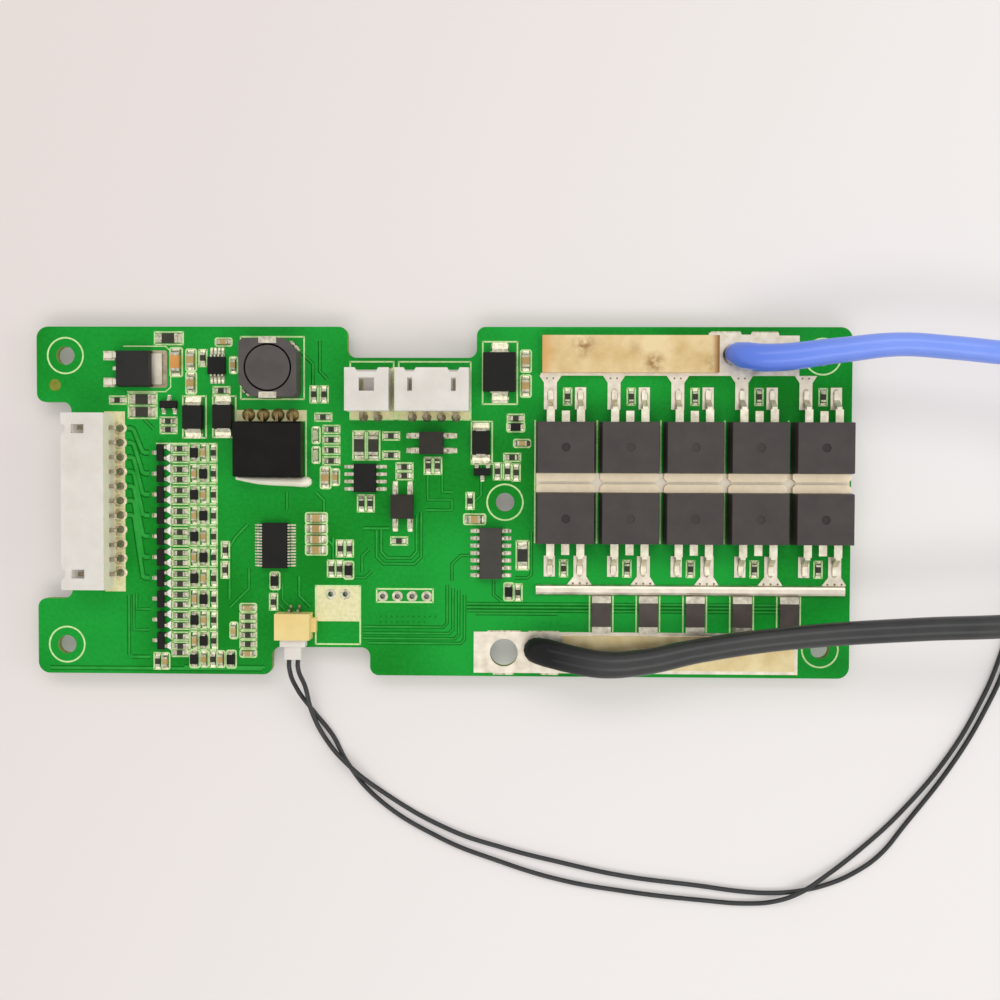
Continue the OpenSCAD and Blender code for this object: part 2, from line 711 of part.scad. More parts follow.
module balance_pins() {
    color("#cfc7b4") at_balance_socket() socket_pins(balance_pin_count);
}

module two_way_socket() {
    color("#e9e6df") at_small_socket(two_way_x) socket_housing(2, 3.2, 2.6, [0]);
}

module two_way_pins() {
    color("#cfc7b4") at_small_socket(two_way_x) socket_pins(2);
}

module four_way_socket() {
    reach = socket_w(4) / 2 - 2.55;
    color("#e9e6df") at_small_socket(four_way_x)
        socket_housing(4, 1.3, 0.8, [-reach, reach]);
}

module four_way_pins() {
    color("#cfc7b4") at_small_socket(four_way_x) socket_pins(4);
}

// ---- sensor connector ---------------------------------------------------

module at_sensor() {
    translate([sensor_at[0], sensor_at[1], top]) children();
}

// Small socket whose mouth faces -Y, with an ear on its right side
module sensor_socket() {
    w = sensor_socket_w;
    d = sensor_socket_d;
    h = sensor_socket_h;
    color("#ebd58c") at_sensor() difference() {
        union() {
            block([w, d, h]);
            translate([w / 2, -d / 2 + 1.2, 0]) cube([0.8, 2.4, h * 0.45]);
        }
        translate([-plug_size[0] / 2, -d / 2 - eps, (h - plug_size[2]) / 2])
            cube([plug_size[0], plug_in_socket + eps, plug_size[2]]);
        for (x = [-1, 1]) translate([x * sensor_pitch / 2, d / 2 - 1.2, h / 2 - 0.2])
            block([0.4, 4, 0.4]);
    }
}

// Two pins from the socket's back wall down to the board, and into the mouth
module sensor_socket_pins() {
    d = sensor_socket_d;
    exit_z = sensor_socket_h / 2;
    color("#cfc7b4") at_sensor() for (x = [-1, 1])
        translate([x * sensor_pitch / 2, d / 2, 0])
            along_x(0.4, [[plug_in_socket - d, exit_z - 0.2], [0.3, exit_z - 0.2], [0.5, 0],
                [1.2, 0], [1.2, 0.3], [0.8, 0.3], [0.6, exit_z + 0.2],
                [plug_in_socket - d, exit_z + 0.2]]);
}

// Crimp plug: a head that sits in the socket and a narrower neck for the wires
module sensor_plug() {
    color("#eceae4") translate([sensor_at[0], 0, sensor_axis_z]) {
        translate([0, plug_head_y + plug_size[1] / 2, -plug_size[2] / 2]) block(plug_size);
        translate([0, neck_end_y + plug_neck[1] / 2, -plug_neck[2] / 2]) block(plug_neck);
    }
}

module sensor_bead() {
    ends = [wire_route_1[len(wire_route_1) - 1], wire_route_2[len(wire_route_2) - 1]];
    color("#2b2a2a") translate([(ends[0][0] + ends[1][0]) / 2, ends[0][1], bead_d / 2]) {
        rotate([-90, 0, 0]) cylinder(h = 4, d = bead_d);
        translate([0, 4, 0]) sphere(d = bead_d);
    }
}

// ---- inductor -----------------------------------------------------------

// Square block with a round well; two corners are cut wide for the wire ends
module choke_shield() {
    half = choke_w / 2;
    color("#5f5a5c") translate([choke_at[0], choke_at[1], top + choke_foot_t]) difference() {
        linear_extrude(choke_h - choke_foot_t) difference() {
            square(choke_w, center = true);
            for (a = [0 : 3]) rotate(90 * a) choke_cut(half, [choke_wide_corner, choke_corner][a % 2]);
        }
        translate([0, 0, 0.8]) cylinder(h = choke_h, d = drum_d + 2 * drum_gap);
        for (side = [0, 1]) rotate(180 * side)
            translate([-choke_foot_w / 2, half - choke_clip_l, choke_h - choke_foot_t - choke_clip_t])
                cube([choke_foot_w, choke_clip_l + eps, choke_clip_t + eps]);
    }
}

module choke_cut(half, corner) {
    polygon([[half - corner, half + eps], [half + eps, half + eps], [half + eps, half - corner]]);
}

// Drum core: two flanges on a hub
module choke_drum() {
    bottom = top + choke_foot_t + 0.8;
    height = choke_h - choke_foot_t - 0.8;
    flange = 0.7;
    color("#4f4a4c") translate([choke_at[0], choke_at[1], bottom]) {
        cylinder(h = flange, d = drum_d);
        cylinder(h = height, d = drum_d * 0.5);
        translate([0, 0, height - flange]) cylinder(h = flange, d = drum_d);
    }
}

// Copper winding between the flanges
module choke_winding() {
    bottom = top + choke_foot_t + 0.8 + 0.7;
    height = choke_h - choke_foot_t - 0.8 - 1.4;
    color("#b4703a") translate([choke_at[0], choke_at[1], bottom]) difference() {
        cylinder(h = height, d = drum_d - 0.5);
        translate([0, 0, -eps]) cylinder(h = height + 2 * eps, d = drum_d * 0.5);
    }
}

// Clips: a foot under the block, up its wall and over its top to the well
module choke_terminals() {
    foot = 2.6;
    color("#d8d2c6") translate([choke_at[0], choke_at[1], top])
        for (side = [0, 1]) rotate(180 * side) translate([0, choke_w / 2, 0])
            along_x(choke_foot_w, [[-foot, 0], [choke_clip_t, 0], [choke_clip_t, choke_h],
                [-choke_clip_l, choke_h], [-choke_clip_l, choke_h - choke_clip_t],
                [0, choke_h - choke_clip_t], [0, choke_foot_t], [-foot, choke_foot_t]]);
}

// ---- regulator ----------------------------------------------------------

module regulator_shape() {
    half = regulator_l / 2;
    inside = regulator_l * 0.6;
    root = 0.6;
    stub = [0.8, 0.6];
    leg_z = 1;
    leg_t = 0.5;
    translate([half - inside, -regulator_tab_w / 2, 0])
        cube([inside + regulator_tab_l, regulator_tab_w, regulator_tab_t]);
    translate([-half - stub[0], -stub[1] / 2, leg_z])
        cube([stub[0] + root, stub[1], leg_t]);
    for (i = [-1, 1]) translate([-half, i * regulator_leg_pitch, 0]) rotate(180)
        along_y(regulator_leg_w, [[-root, leg_z], [0.5, leg_z], [1, 0], [2.7, 0],
            [2.7, leg_t], [1.3, leg_t], [0.8, leg_z + leg_t], [-root, leg_z + leg_t]]);
}

module regulator_body() {
    half = regulator_w / 2;
    slope = 0.2;
    color("#33302f") translate([regulator_at[0], regulator_at[1], top]) difference() {
        along_x(regulator_l, [[-half, 0], [half, 0], [half, regulator_h * 0.4],
            [half - slope, regulator_h], [-half + slope, regulator_h],
            [-half, regulator_h * 0.4]]);
        regulator_shape();
    }
}

module regulator_frame() {
    color("#d8cdb9") translate([regulator_at[0], regulator_at[1], top]) regulator_shape();
}

// ---- integrated circuits ------------------------------------------------

module monitor_chip() {
    color("#2c2a2b") translate([monitor_at[0], monitor_at[1], top]) moulded_body(monitor_size);
}

module monitor_chip_legs() {
    color("#cbc5b6") translate([monitor_at[0], monitor_at[1], top])
        leg_rows(monitor_size, 15, 0.5, 1, 0.24);
}

module logic_chip() {
    color("#2c2a2b") translate([logic_at[0], logic_at[1], top]) moulded_body(logic_size);
}

module logic_chip_legs() {
    color("#cbc5b6") translate([logic_at[0], logic_at[1], top])
        leg_rows(logic_size, 7, 1.27, 1.05, 0.45);
}

module small_chips() {
    color("#2c2a2b") {
        translate([amplifier_at[0], amplifier_at[1], top]) moulded_body(amplifier_size);
        translate([switcher_at[0], switcher_at[1], top]) rotate(90) moulded_body(switcher_size);
    }
}

module small_chip_legs() {
    color("#cbc5b6") {
        translate([amplifier_at[0], amplifier_at[1], top])
            leg_rows(amplifier_size, 4, 1.27, 1.05, 0.42);
        translate([switcher_at[0], switcher_at[1], top]) rotate(90)
            leg_rows(switcher_size, 4, 0.65, 0.95, 0.3);
    }
}

module optocouplers() {
    color("#4a4340") translate([coupler_1_at[0], coupler_1_at[1], top])
        moulded_body(coupler_size);
    color("#2f2b2a") translate([coupler_2_at[0], coupler_2_at[1], top]) rotate(90)
        moulded_body(coupler_size);
}

module optocoupler_legs() {
    color("#cbc5b6") {
        translate([coupler_1_at[0], coupler_1_at[1], top])
            leg_rows(coupler_size, 2, 2.54, 1.5, 0.45);
        translate([coupler_2_at[0], coupler_2_at[1], top]) rotate(90)
            leg_rows(coupler_size, 2, 2.54, 1.5, 0.45);
    }
}

// ---- diodes -------------------------------------------------------------

// A flat end strap of a moulded diode: down the end wall and under the body
module diode_straps(size, width) {
    for (side = [0, 1]) rotate(180 * side) translate([0, size[1] / 2, 0])
        along_x(width, [[-1.1, 0], [plate, 0], [plate, size[2] * 0.5],
            [0, size[2] * 0.5], [0, plate], [-1.1, plate]]);
}

module diode_body(size) {
    moulded_body(size, plate);
}

module power_diodes() {
    color("#2c2a2b") {
        translate([big_diode_at[0], big_diode_at[1], top]) diode_body(big_diode_size);
        for (at = mid_diodes) translate([at[0], at[1], top]) diode_body(mid_diode_size);
        translate([low_diode_at[0], low_diode_at[1], top]) diode_body(low_diode_size);
    }
}

module power_diode_ends() {
    color("#dad4c8") {
        translate([big_diode_at[0], big_diode_at[1], top]) diode_straps(big_diode_size, 3.1);
        for (at = mid_diodes) translate([at[0], at[1], top]) diode_straps(mid_diode_size, 2.2);
        translate([low_diode_at[0], low_diode_at[1], top]) diode_straps(low_diode_size, 1.6);
    }
}

// ---- sealed module ------------------------------------------------------

module sealed_module() {
    bevel = 0.3;
    half = module_w / 2;
    color("#1d1b1c") translate([module_at[0], module_at[1], top])
        along_x(module_l, [[-half, 0], [half, 0], [half, module_h - bevel],
            [half - bevel, module_h], [-half + bevel, module_h], [-half, module_h - bevel]]);
}

// Four legs that leave the back wall and turn down through the board
module sealed_module_pins() {
    wall = module_at[1] + module_w / 2;
    reach = module_pin_y - wall;
    half = module_leg_t / 2;
    color("#cfc7b4") for (i = [0 : 3])
        translate([module_at[0] + (i - 1.5) * module_pin_pitch, 0, 0]) {
            translate([0, wall, top]) along_x(module_leg_t,
                [[0, module_leg_z - half], [reach - half, module_leg_z - half],
                [reach - half, -top], [reach + half, -top],
                [reach + half, module_leg_z + half], [0, module_leg_z + half]]);
            translate([0, module_pin_y, 0]) pin_solder();
        }
}

// Bead of glue along the front wall, with round ends
module glue_bead() {
    length = module_l - 0.6;
    wall = module_at[1] - module_w / 2;
    color("#efe9df") translate([module_at[0] + 0.4, wall, top]) intersection() {
        union() {
            translate([-length / 2, 0, 0]) rotate([0, 90, 0]) cylinder(h = length, r = glue_r);
            translate([length / 2, 0, 0]) sphere(r = glue_r);
            translate([-length / 2, 0, 0]) sphere(r = glue_r);
        }
        translate([-length, -2 * glue_r, 0]) cube([2 * length, 2 * glue_r, glue_r * 0.8]);
    }
}

// ---- small parts --------------------------------------------------------

// Every place of a three-legged transistor
module at_transistors() {
    for (i = [0 : channel_count - 1])
        translate([channel_transistor_x, channel_y(i), top]) children();
    for (t = lone_transistors) translate([left + t[0], t[1], top]) rotate(t[2]) children();
}

// Every place of a clamp diode: the channels take the two columns in turn
module at_clamps() {
    for (i = [0 : channel_count - 1])
        translate([channel_clamp_xs[i % 2], channel_y(i), top]) rotate(90) children();
    for (t = lone_clamps) translate([left + t[0], t[1], top]) rotate(t[2]) children();
}

module transistors() {
    color("#2b2a2a") at_transistors() moulded_body(transistor_size);
}

module clamp_diodes() {
    color("#2b2a2a") at_clamps() moulded_body([clamp_size[1], clamp_size[0], clamp_size[2]]);
}

// Legs of the small transistors and clamp diodes
module small_legs() {
    leg_z = (transistor_size[2] + 0.1) / 2;
    clamp_z = (clamp_size[2] + 0.1) / 2;
    color("#d6d0c2") {
        at_transistors() {
            rotate(180) translate([transistor_size[0] / 2, 0, 0]) gull_leg(0.65, 0.5, leg_z);
            for (y = [-0.95, 0.95]) translate([transistor_size[0] / 2, y, 0])
                gull_leg(0.65, 0.5, leg_z);
        }
        at_clamps() for (side = [0, 1]) rotate(180 * side)
            translate([clamp_size[1] / 2, 0, 0]) gull_leg(0.45, 0.5, clamp_z);
    }
}

// Puts its children at every resistor, with $size as the size number
module at_resistors() {
    for (c = lone_resistors) {
        $size = c[3];
        translate([left + c[0], c[1], top]) rotate(c[2]) children();
    }
    for (c = resistor_stacks, i = [0 : c[3] - 1]) {
        $size = c[4];
        translate([left + c[0], c[1] - i * c[2], top]) children();
    }
    for (i = [0 : channel_count - 1]) {
        $size = 0;
        translate([channel_resistor_x, channel_y(i) + 0.72, top]) children();
        translate([channel_resistor_x, channel_y(i) - 1, top]) children();
        translate([channel_last_x, channel_y(i), top]) rotate(90) children();
    }
    for (i = [0 : 4]) {
        $size = 0;
        translate([fet_x(i) + 0.35, upper_feet_y + gate_chip_reach, top]) rotate(90) children();
        translate([fet_x(i) - 0.2, lower_feet_y - gate_chip_reach, top]) rotate(90) children();
    }
}

module at_capacitors() {
    for (c = lone_capacitors) {
        $size = c[3];
        translate([left + c[0], c[1], top]) rotate(c[2]) children();
    }
    for (c = capacitor_stacks, i = [0 : c[3] - 1]) {
        $size = c[4];
        translate([left + c[0], c[1] - i * c[2], top]) children();
    }
    for (i = [0 : channel_count - 1]) {
        $size = 0;
        translate([channel_clamp_xs[1 - i % 2], channel_y(i), top]) rotate(90) children();
    }
}

module chip_middle(heights) {
    block([chip_l[$size] - 2 * chip_end[$size], chip_w[$size], heights[$size]]);
}

module chip_tips(heights) {
    for (side = [-1, 1]) translate([side * (chip_l[$size] - chip_end[$size]) / 2, 0, 0])
        block([chip_end[$size], chip_w[$size], heights[$size]]);
}

module chip_resistors() {
    color("#3b3733") at_resistors() chip_middle(resistor_h);
}

module chip_capacitors() {
    color("#b98a5e") at_capacitors() chip_middle(capacitor_h);
}

module chip_ends() {
    color("#d9d3c7") {
        at_resistors() chip_tips(resistor_h);
        at_capacitors() chip_tips(capacitor_h);
    }
}

// ---- leads and wires ----------------------------------------------------

// Solder round a lead's core: a collar on the land and a lump under the board
module lead_joint(at) {
    core = lead_hole_d - 0.2;
    translate([at[0], at[1], 0]) {
        cylinder(h = lead_z0, d = core);
        cylinder(h = under, d1 = core, d2 = core + 1.8);
        translate([0, 0, land_top]) cylinder(h = joint_h, d1 = lead_d, d2 = core + 0.2);
    }
}

module lead_joints() {
    color("#ddd6c8") {
        lead_joint(lead_joint_blue);
        lead_joint(lead_joint_black);
    }
}

function unit(v) = v / norm(v);

function tangents(p) = [for (i = [0 : len(p) - 1])
    unit(p[min(i + 1, len(p) - 1)] - p[max(i - 1, 0)])];

// Normals that turn as little as they can from one point to the next
function normals(t) = [for (i = 0, n = unit(cross(t[0], [0.1, 1, 0.2])); i < len(t);
    i = i + 1, n = i < len(t) ? unit(n - (n * t[i]) * t[i]) : n) n];

// A round cord swept along its route as one closed mesh
module cord_tube(route, d, sides) {
    t = tangents(route);
    n = normals(t);
    last = len(route) - 1;
    rings = [for (i = [0 : last]) for (k = [0 : sides - 1])
        let (a = 360 * k / sides, b = cross(t[i], n[i]))
        route[i] + d / 2 * (cos(a) * n[i] + sin(a) * b)];
    walls = [for (i = [0 : last - 1]) for (k = [0 : sides - 1])
        let (a = i * sides + k, b = i * sides + (k + 1) % sides)
        each [[a, a + sides, b], [b, a + sides, b + sides]]];
    caps = [[for (k = [0 : sides - 1]) k],
        [for (k = [sides - 1 : -1 : 0]) last * sides + k]];
    polyhedron(rings, concat(walls, caps));
}

module blue_lead() {
    color("#5f7fe6") cord_tube(blue_route, lead_d, 10);
}

module black_lead() {
    color("#3a3938") cord_tube(black_route, lead_d, 10);
}

// Stripped and tinned core at a lead's far end
module lead_end(route) {
    tip = route[len(route) - 1];
    along = unit(tip - route[len(route) - 2]);
    turn = atan2(along[1], along[0]);
    translate(tip) rotate(turn) rotate([0, 90, 0]) cylinder(h = lead_core_l, d = lead_core_d);
}

module lead_ends() {
    color("#d2cbbd") {
        lead_end(blue_route);
        lead_end(black_route);
    }
}

module sensor_wire_1() {
    color("#2b2a2a") cord_tube(wire_route_1, wire_d, 8);
}

module sensor_wire_2() {
    color("#2b2a2a") cord_tube(wire_route_2, wire_d, 8);
}

// ---- the part -----------------------------------------------------------

circuit_board();
tinned_lands();
copper_bar();
copper_strip();
solder_bar();
mosfet(0);  // mosfet_1
mosfet(1);  // mosfet_2
mosfet(2);  // mosfet_3
mosfet(3);  // mosfet_4
mosfet(4);  // mosfet_5
mosfet(5);  // mosfet_6
mosfet(6);  // mosfet_7
mosfet(7);  // mosfet_8
mosfet(8);  // mosfet_9
mosfet(9);  // mosfet_10
mosfet_frames(0);  // mosfet_frames_upper
mosfet_frames(fet_count);  // mosfet_frames_lower
shunt_resistors();
shunt_ends();
balance_socket();
balance_pins();
two_way_socket();
two_way_pins();
four_way_socket();
four_way_pins();
sensor_socket();
sensor_socket_pins();
sensor_plug();
choke_shield();
choke_drum();
choke_winding();
choke_terminals();
regulator_body();
regulator_frame();
monitor_chip();
monitor_chip_legs();
logic_chip();
logic_chip_legs();
small_chips();
small_chip_legs();
optocouplers();
optocoupler_legs();
power_diodes();
power_diode_ends();
sealed_module();
sealed_module_pins();
glue_bead();
transistors();
clamp_diodes();
small_legs();
chip_resistors();
chip_capacitors();
chip_ends();
lead_joints();
blue_lead();
black_lead();
lead_ends();
sensor_wire_1();
sensor_wire_2();
sensor_bead();
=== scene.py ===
import bpy, math
from mathutils import Matrix, Vector


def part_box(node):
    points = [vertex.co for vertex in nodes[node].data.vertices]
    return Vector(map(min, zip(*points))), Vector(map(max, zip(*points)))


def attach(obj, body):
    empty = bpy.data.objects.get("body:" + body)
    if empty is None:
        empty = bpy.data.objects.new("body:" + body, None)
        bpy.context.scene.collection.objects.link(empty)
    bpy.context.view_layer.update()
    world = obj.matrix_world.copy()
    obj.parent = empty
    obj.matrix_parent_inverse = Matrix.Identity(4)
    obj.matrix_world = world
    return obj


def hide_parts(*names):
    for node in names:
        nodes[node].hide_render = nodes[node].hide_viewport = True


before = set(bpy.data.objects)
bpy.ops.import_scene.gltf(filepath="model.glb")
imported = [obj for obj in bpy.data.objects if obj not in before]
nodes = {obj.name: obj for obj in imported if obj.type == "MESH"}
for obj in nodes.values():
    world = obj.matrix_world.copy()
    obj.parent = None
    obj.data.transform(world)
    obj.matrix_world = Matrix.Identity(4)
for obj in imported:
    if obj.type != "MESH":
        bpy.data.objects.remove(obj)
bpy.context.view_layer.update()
mm = 0.001
underside, boardTop = [corner.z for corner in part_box("circuit_board")]
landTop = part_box("tinned_lands")[1].z
print("frame loaded")


def hexColor(code):
    # hex is sRGB, shaders want linear
    parts = [int(code[i:i + 2], 16) / 255 for i in (1, 3, 5)]
    return [c / 12.92 if c <= 0.04045 else ((c + 0.055) / 1.055) ** 2.4 for c in parts] + [1]


def addNode(tree, kind, links={}, into=None, out=0, **settings):
    # links gives the inputs their values or sockets, into is the socket that output number out feeds
    node = tree.nodes.new("ShaderNode" + kind)
    for key, value in settings.items():
        setattr(node, key, value)
    for key, value in links.items():
        if isinstance(value, bpy.types.NodeSocket):
            tree.links.new(value, node.inputs[key])
        else:
            node.inputs[key].default_value = value
    if into is not None:
        tree.links.new(node.outputs[out], into)
    return node


def startMaterial(name, **sockets):
    material = bpy.data.materials.new(name)
    material.use_nodes = True
    tree = material.node_tree
    shader = tree.nodes["Principled BSDF"]
    for key, value in sockets.items():
        shader.inputs[key.replace("_", " ")].default_value = value
    place = addNode(tree, "TexCoord").outputs["Object"]
    return material, tree, shader, place


def setStops(ramp, colors, stops):
    for spot, color, stop in zip(ramp.color_ramp.elements, colors, stops):
        spot.position = stop
        spot.color = hexColor(color)


def addSpread(tree, shader, place, size, colors, stops=(0.3, 0.7), detail=3, rough=None, relief=None):
    # two colours spread by noise of a real size, in metres; roughness and relief can follow the same noise
    cloud = {"Vector": place, "Scale": 1 / size, "Detail": detail, "Roughness": 0.55}
    cloud = addNode(tree, "TexNoise", cloud).outputs["Fac"]
    ramp = addNode(tree, "ValToRGB", {"Fac": cloud}, into=shader.inputs["Base Color"])
    setStops(ramp, colors, stops)
    if rough:
        span = {"Value": cloud, "From Min": 0.3, "From Max": 0.7, "To Min": rough[0], "To Max": rough[1]}
        addNode(tree, "MapRange", span, into=shader.inputs["Roughness"])
    if relief:
        relief = {"Height": cloud, "Strength": relief[0], "Distance": relief[1]}
        addNode(tree, "Bump", relief, into=shader.inputs["Normal"])
    return ramp.outputs["Color"]


def pick(*things):
    if bpy.context.object and bpy.context.object.mode != "OBJECT":
        bpy.ops.object.mode_set(mode="OBJECT")
    bpy.ops.object.select_all(action="DESELECT")
    for thing in things:
        thing.select_set(True)
        bpy.context.view_layer.objects.active = things[0]


def settle(piece):
    # move the place into the mesh
    pick(piece)
    bpy.ops.object.transform_apply(location=True, rotation=True, scale=True)
    return piece


def joinPieces(name, parts):
    pick(*parts)
    if len(parts) > 1:
        bpy.ops.object.join()
    piece = bpy.context.object
    piece.name = name
    piece.data.name = name
    return settle(piece)


def finishPiece(piece, material):
    piece.data.materials.clear()
    piece.data.materials.append(material)
    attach(piece, "root")
    return piece


def copyAt(template, x, y, z=0, turn=0, scale=(1, 1, 1)):
    # each copy has its own mesh, with its place in it
    twin = template.copy()
    twin.data = template.data.copy()
    bpy.context.collection.objects.link(twin)
    move = Matrix.Translation((x, y, z)) @ Matrix.Rotation(turn, 4, "Z") @ Matrix.Diagonal((*scale, 1))
    twin.data.transform(move)
    return twin


def placeCopies(name, template, spots, material):
    # one copy of the template for each spot, given as for copyAt; the template goes
    copies = [copyAt(template, *spot) for spot in spots]
    bpy.data.objects.remove(template)
    return finishPiece(joinPieces(name, copies), material)


def closePlates():
    # in edit mode: turn every face outwards, and leave edit mode
    bpy.ops.mesh.select_all(action="SELECT")
    bpy.ops.mesh.normals_make_consistent(inside=False)
    bpy.ops.object.mode_set(mode="OBJECT")


def sweep(name, runs, radius, roundness, steps=0, capped=False):
    # a tube along each run of (point in mm, fullness); with steps between the points it is smooth
    curve = bpy.data.curves.new(name, "CURVE")
    curve.dimensions = "3D"
    curve.bevel_depth = radius
    curve.bevel_resolution = roundness
    curve.resolution_u = steps or 1
    curve.use_fill_caps = capped
    for run in runs:
        spline = curve.splines.new("BEZIER" if steps else "POLY")
        knots = spline.bezier_points if steps else spline.points
        knots.add(len(run) - 1)
        for knot, (point, fullness) in zip(knots, run):
            knot.radius = fullness
            if steps:
                knot.co = Vector(point) * mm
                knot.handle_left_type = knot.handle_right_type = "AUTO"
            else:
                knot.co = [c * mm for c in point] + [1]
    tube = bpy.data.objects.new(name, curve)
    bpy.context.collection.objects.link(tube)
    return tube


def meshOf(tube):
    pick(tube)
    bpy.ops.object.convert(target="MESH")
    return bpy.context.object


def solidBoxes(nodeName):
    # lowest and highest corner of every separate solid in a node; corners a micron apart are one
    mesh = nodes[nodeName].data
    leader = {}

    def find(key):
        while leader[key] != key:
            leader[key] = leader[leader[key]]
            key = leader[key]
        return key
    keys = [tuple(round(c * 1e6) for c in v.co) for v in mesh.vertices]
    for key in keys:
        leader.setdefault(key, key)
    for face in mesh.polygons:
        first = find(keys[face.vertices[0]])
        for index in face.vertices[1:]:
            leader[find(keys[index])] = first
    groups = {}
    for key in set(keys):
        groups.setdefault(find(key), []).append(key)
    boxes = []
    for members in groups.values():
        low = Vector([min(m[i] for m in members) * 1e-6 for i in range(3)])
        high = Vector([max(m[i] for m in members) * 1e-6 for i in range(3)])
        boxes.append((low, high))
    return sorted(boxes, key=lambda b: (round(b[0].x, 5), round(b[0].y, 5)))


# camera, straight above with a slight lean
cameraSettings = {
    "place": (0.015262, 0.006350, 0.213556),
    "turn": (-0.02834, 0.02447, 0.00357),
    "lens": 44.05, "sensor": 36, "near": 0.01, "far": 20,
}
bpy.ops.object.camera_add(location=cameraSettings["place"], rotation=cameraSettings["turn"])
camera = bpy.context.object
camera.data.lens = cameraSettings["lens"]
camera.data.sensor_width = cameraSettings["sensor"]
camera.data.clip_start = cameraSettings["near"]
camera.data.clip_end = cameraSettings["far"]
bpy.context.scene.camera = camera

stageSettings = {
    "paper": ["#e8e0dd", "#f2eeec"], "side": 7.0, "drop": 0.0001,
    "falloffX": 4.5, "falloffY": -2.5, "falloffStart": 0.55,   # slope of the painted light falloff over the paper, per metre
    "ownLight": 0.2,
    "ambient": 0.58, "ambientColor": "#fbf9f7",
    "aim": (0.02, 0, 0),
    "softboxes": {
        "backSoftbox": {"place": (0.02, 0.5, 0.67), "long": 0.9, "wide": 0.3, "power": 1.8},
        "frontSoftbox": {"place": (0.02, -0.5, 0.67), "long": 0.9, "wide": 0.3, "power": 1.8},
        "topSoftbox": {"place": (0.02, 0, 0.95), "long": 0.6, "wide": 0.6, "power": 0.2},
        "endSoftbox": {"place": (0.75, 0, 0.3), "long": 0.5, "wide": 0.5, "power": 1.5},
    },
}


def seenDirectly(tree):
    # 1 for rays that come from the eye, from a shiny face or through glass
    rays = addNode(tree, "LightPath").outputs
    share = rays["Is Camera Ray"]
    for name in ("Is Glossy Ray", "Is Transmission Ray"):
        share = addNode(tree, "Math", {0: share, 1: rays[name]}, operation="MAXIMUM").outputs[0]
    return share


bpy.ops.mesh.primitive_plane_add(size=stageSettings["side"], location=(0, 0, -stageSettings["drop"]))
floor = bpy.context.object
floor.name = "floor"
# matt backdrop paper: no gloss; painted light falloff, darker at the far left and lighter at the near right
floorPaint, tree, shader, place = startMaterial("matteBackdropPaper", Roughness=0.9, Specular_IOR_Level=0.1)
split = addNode(tree, "SeparateXYZ", {0: place})
across = {0: split.outputs["X"], 1: stageSettings["falloffX"], 2: stageSettings["falloffStart"]}
across = addNode(tree, "Math", across, operation="MULTIPLY_ADD")
slope = {0: split.outputs["Y"], 1: stageSettings["falloffY"], 2: across.outputs[0]}
slope = addNode(tree, "Math", slope, operation="MULTIPLY_ADD")
tone = addNode(tree, "MapRange", {"Value": slope.outputs[0]}, interpolation_type="SMOOTHSTEP")
far, near = [hexColor(code) for code in stageSettings["paper"]]
blend = {0: tone.outputs[0], 6: far, 7: near}
blend = addNode(tree, "Mix", blend, into=shader.inputs["Base Color"], out=2, data_type="RGBA")
# the paper keeps some of its pale tone in the shade
share = {0: seenDirectly(tree), 1: stageSettings["ownLight"]}
share = addNode(tree, "Math", share, operation="MULTIPLY")
glow = addNode(tree, "Emission", {"Color": blend.outputs[2], "Strength": 1.0})
surface = tree.nodes["Material Output"].inputs["Surface"]
blend = {0: share.outputs[0], 1: shader.outputs[0], 2: glow.outputs[0]}
addNode(tree, "MixShader", blend, into=surface)
floor.data.materials.append(floorPaint)

world = bpy.data.worlds.new("studioSurround")
bpy.context.scene.world = world
world.use_nodes = True
tree = world.node_tree
tree.nodes.clear()
ambientColor = hexColor(stageSettings["ambientColor"])
ambient = addNode(tree, "Background", {"Color": ambientColor, "Strength": stageSettings["ambient"]})
white = addNode(tree, "Background", {"Color": hexColor("#ffffff"), "Strength": 1.0})
blend = {0: seenDirectly(tree), 1: ambient.outputs[0], 2: white.outputs[0]}
blend = addNode(tree, "MixShader", blend)
addNode(tree, "OutputWorld", {"Surface": blend.outputs[0]})

for name, settings in stageSettings["softboxes"].items():
    bpy.ops.object.light_add(type="AREA", location=settings["place"])
    lamp = bpy.context.object
    lamp.name = name
    lamp.data.shape = "RECTANGLE"
    lamp.data.size = settings["long"]
    lamp.data.size_y = settings["wide"]
    lamp.data.energy = settings["power"]
    aim = Vector(stageSettings["aim"]) - Vector(settings["place"])
    lamp.rotation_euler = aim.to_track_quat("-Z", "Y").to_euler()
bpy.context.scene.view_settings.view_transform = "Standard"
print("camera and stage ready")


def jointShadeFade(tree, place, start, end):
    # 1 beside the soldered end, fading to 0 along the lead; it carries the painted shade of the leads
    split = addNode(tree, "SeparateXYZ", {0: place})
    reach = {"Value": split.outputs["X"], "From Min": start, "From Max": end, "To Min": 1, "To Max": 0}
    return addNode(tree, "MapRange", reach).outputs[0]


# extruded soft PVC: satin, with a slow drift of tone; painted shade makes it a deeper blue towards the
# soldered end
leadInsulation, tree, shader, place = startMaterial("bluePvcInsulation", Roughness=0.36, Coat_Weight=0.25)
tone = addSpread(tree, shader, place, 0.009, ["#7393f4", "#7f9ffb"], relief=(0.25, 0.0002))
# painted shade: the blue deepens towards the soldered end
blend = {0: jointShadeFade(tree, place, 0.052, 0.072), 6: tone, 7: hexColor("#5b80ec")}
addNode(tree, "Mix", blend, into=shader.inputs["Base Color"], out=2, data_type="RGBA")
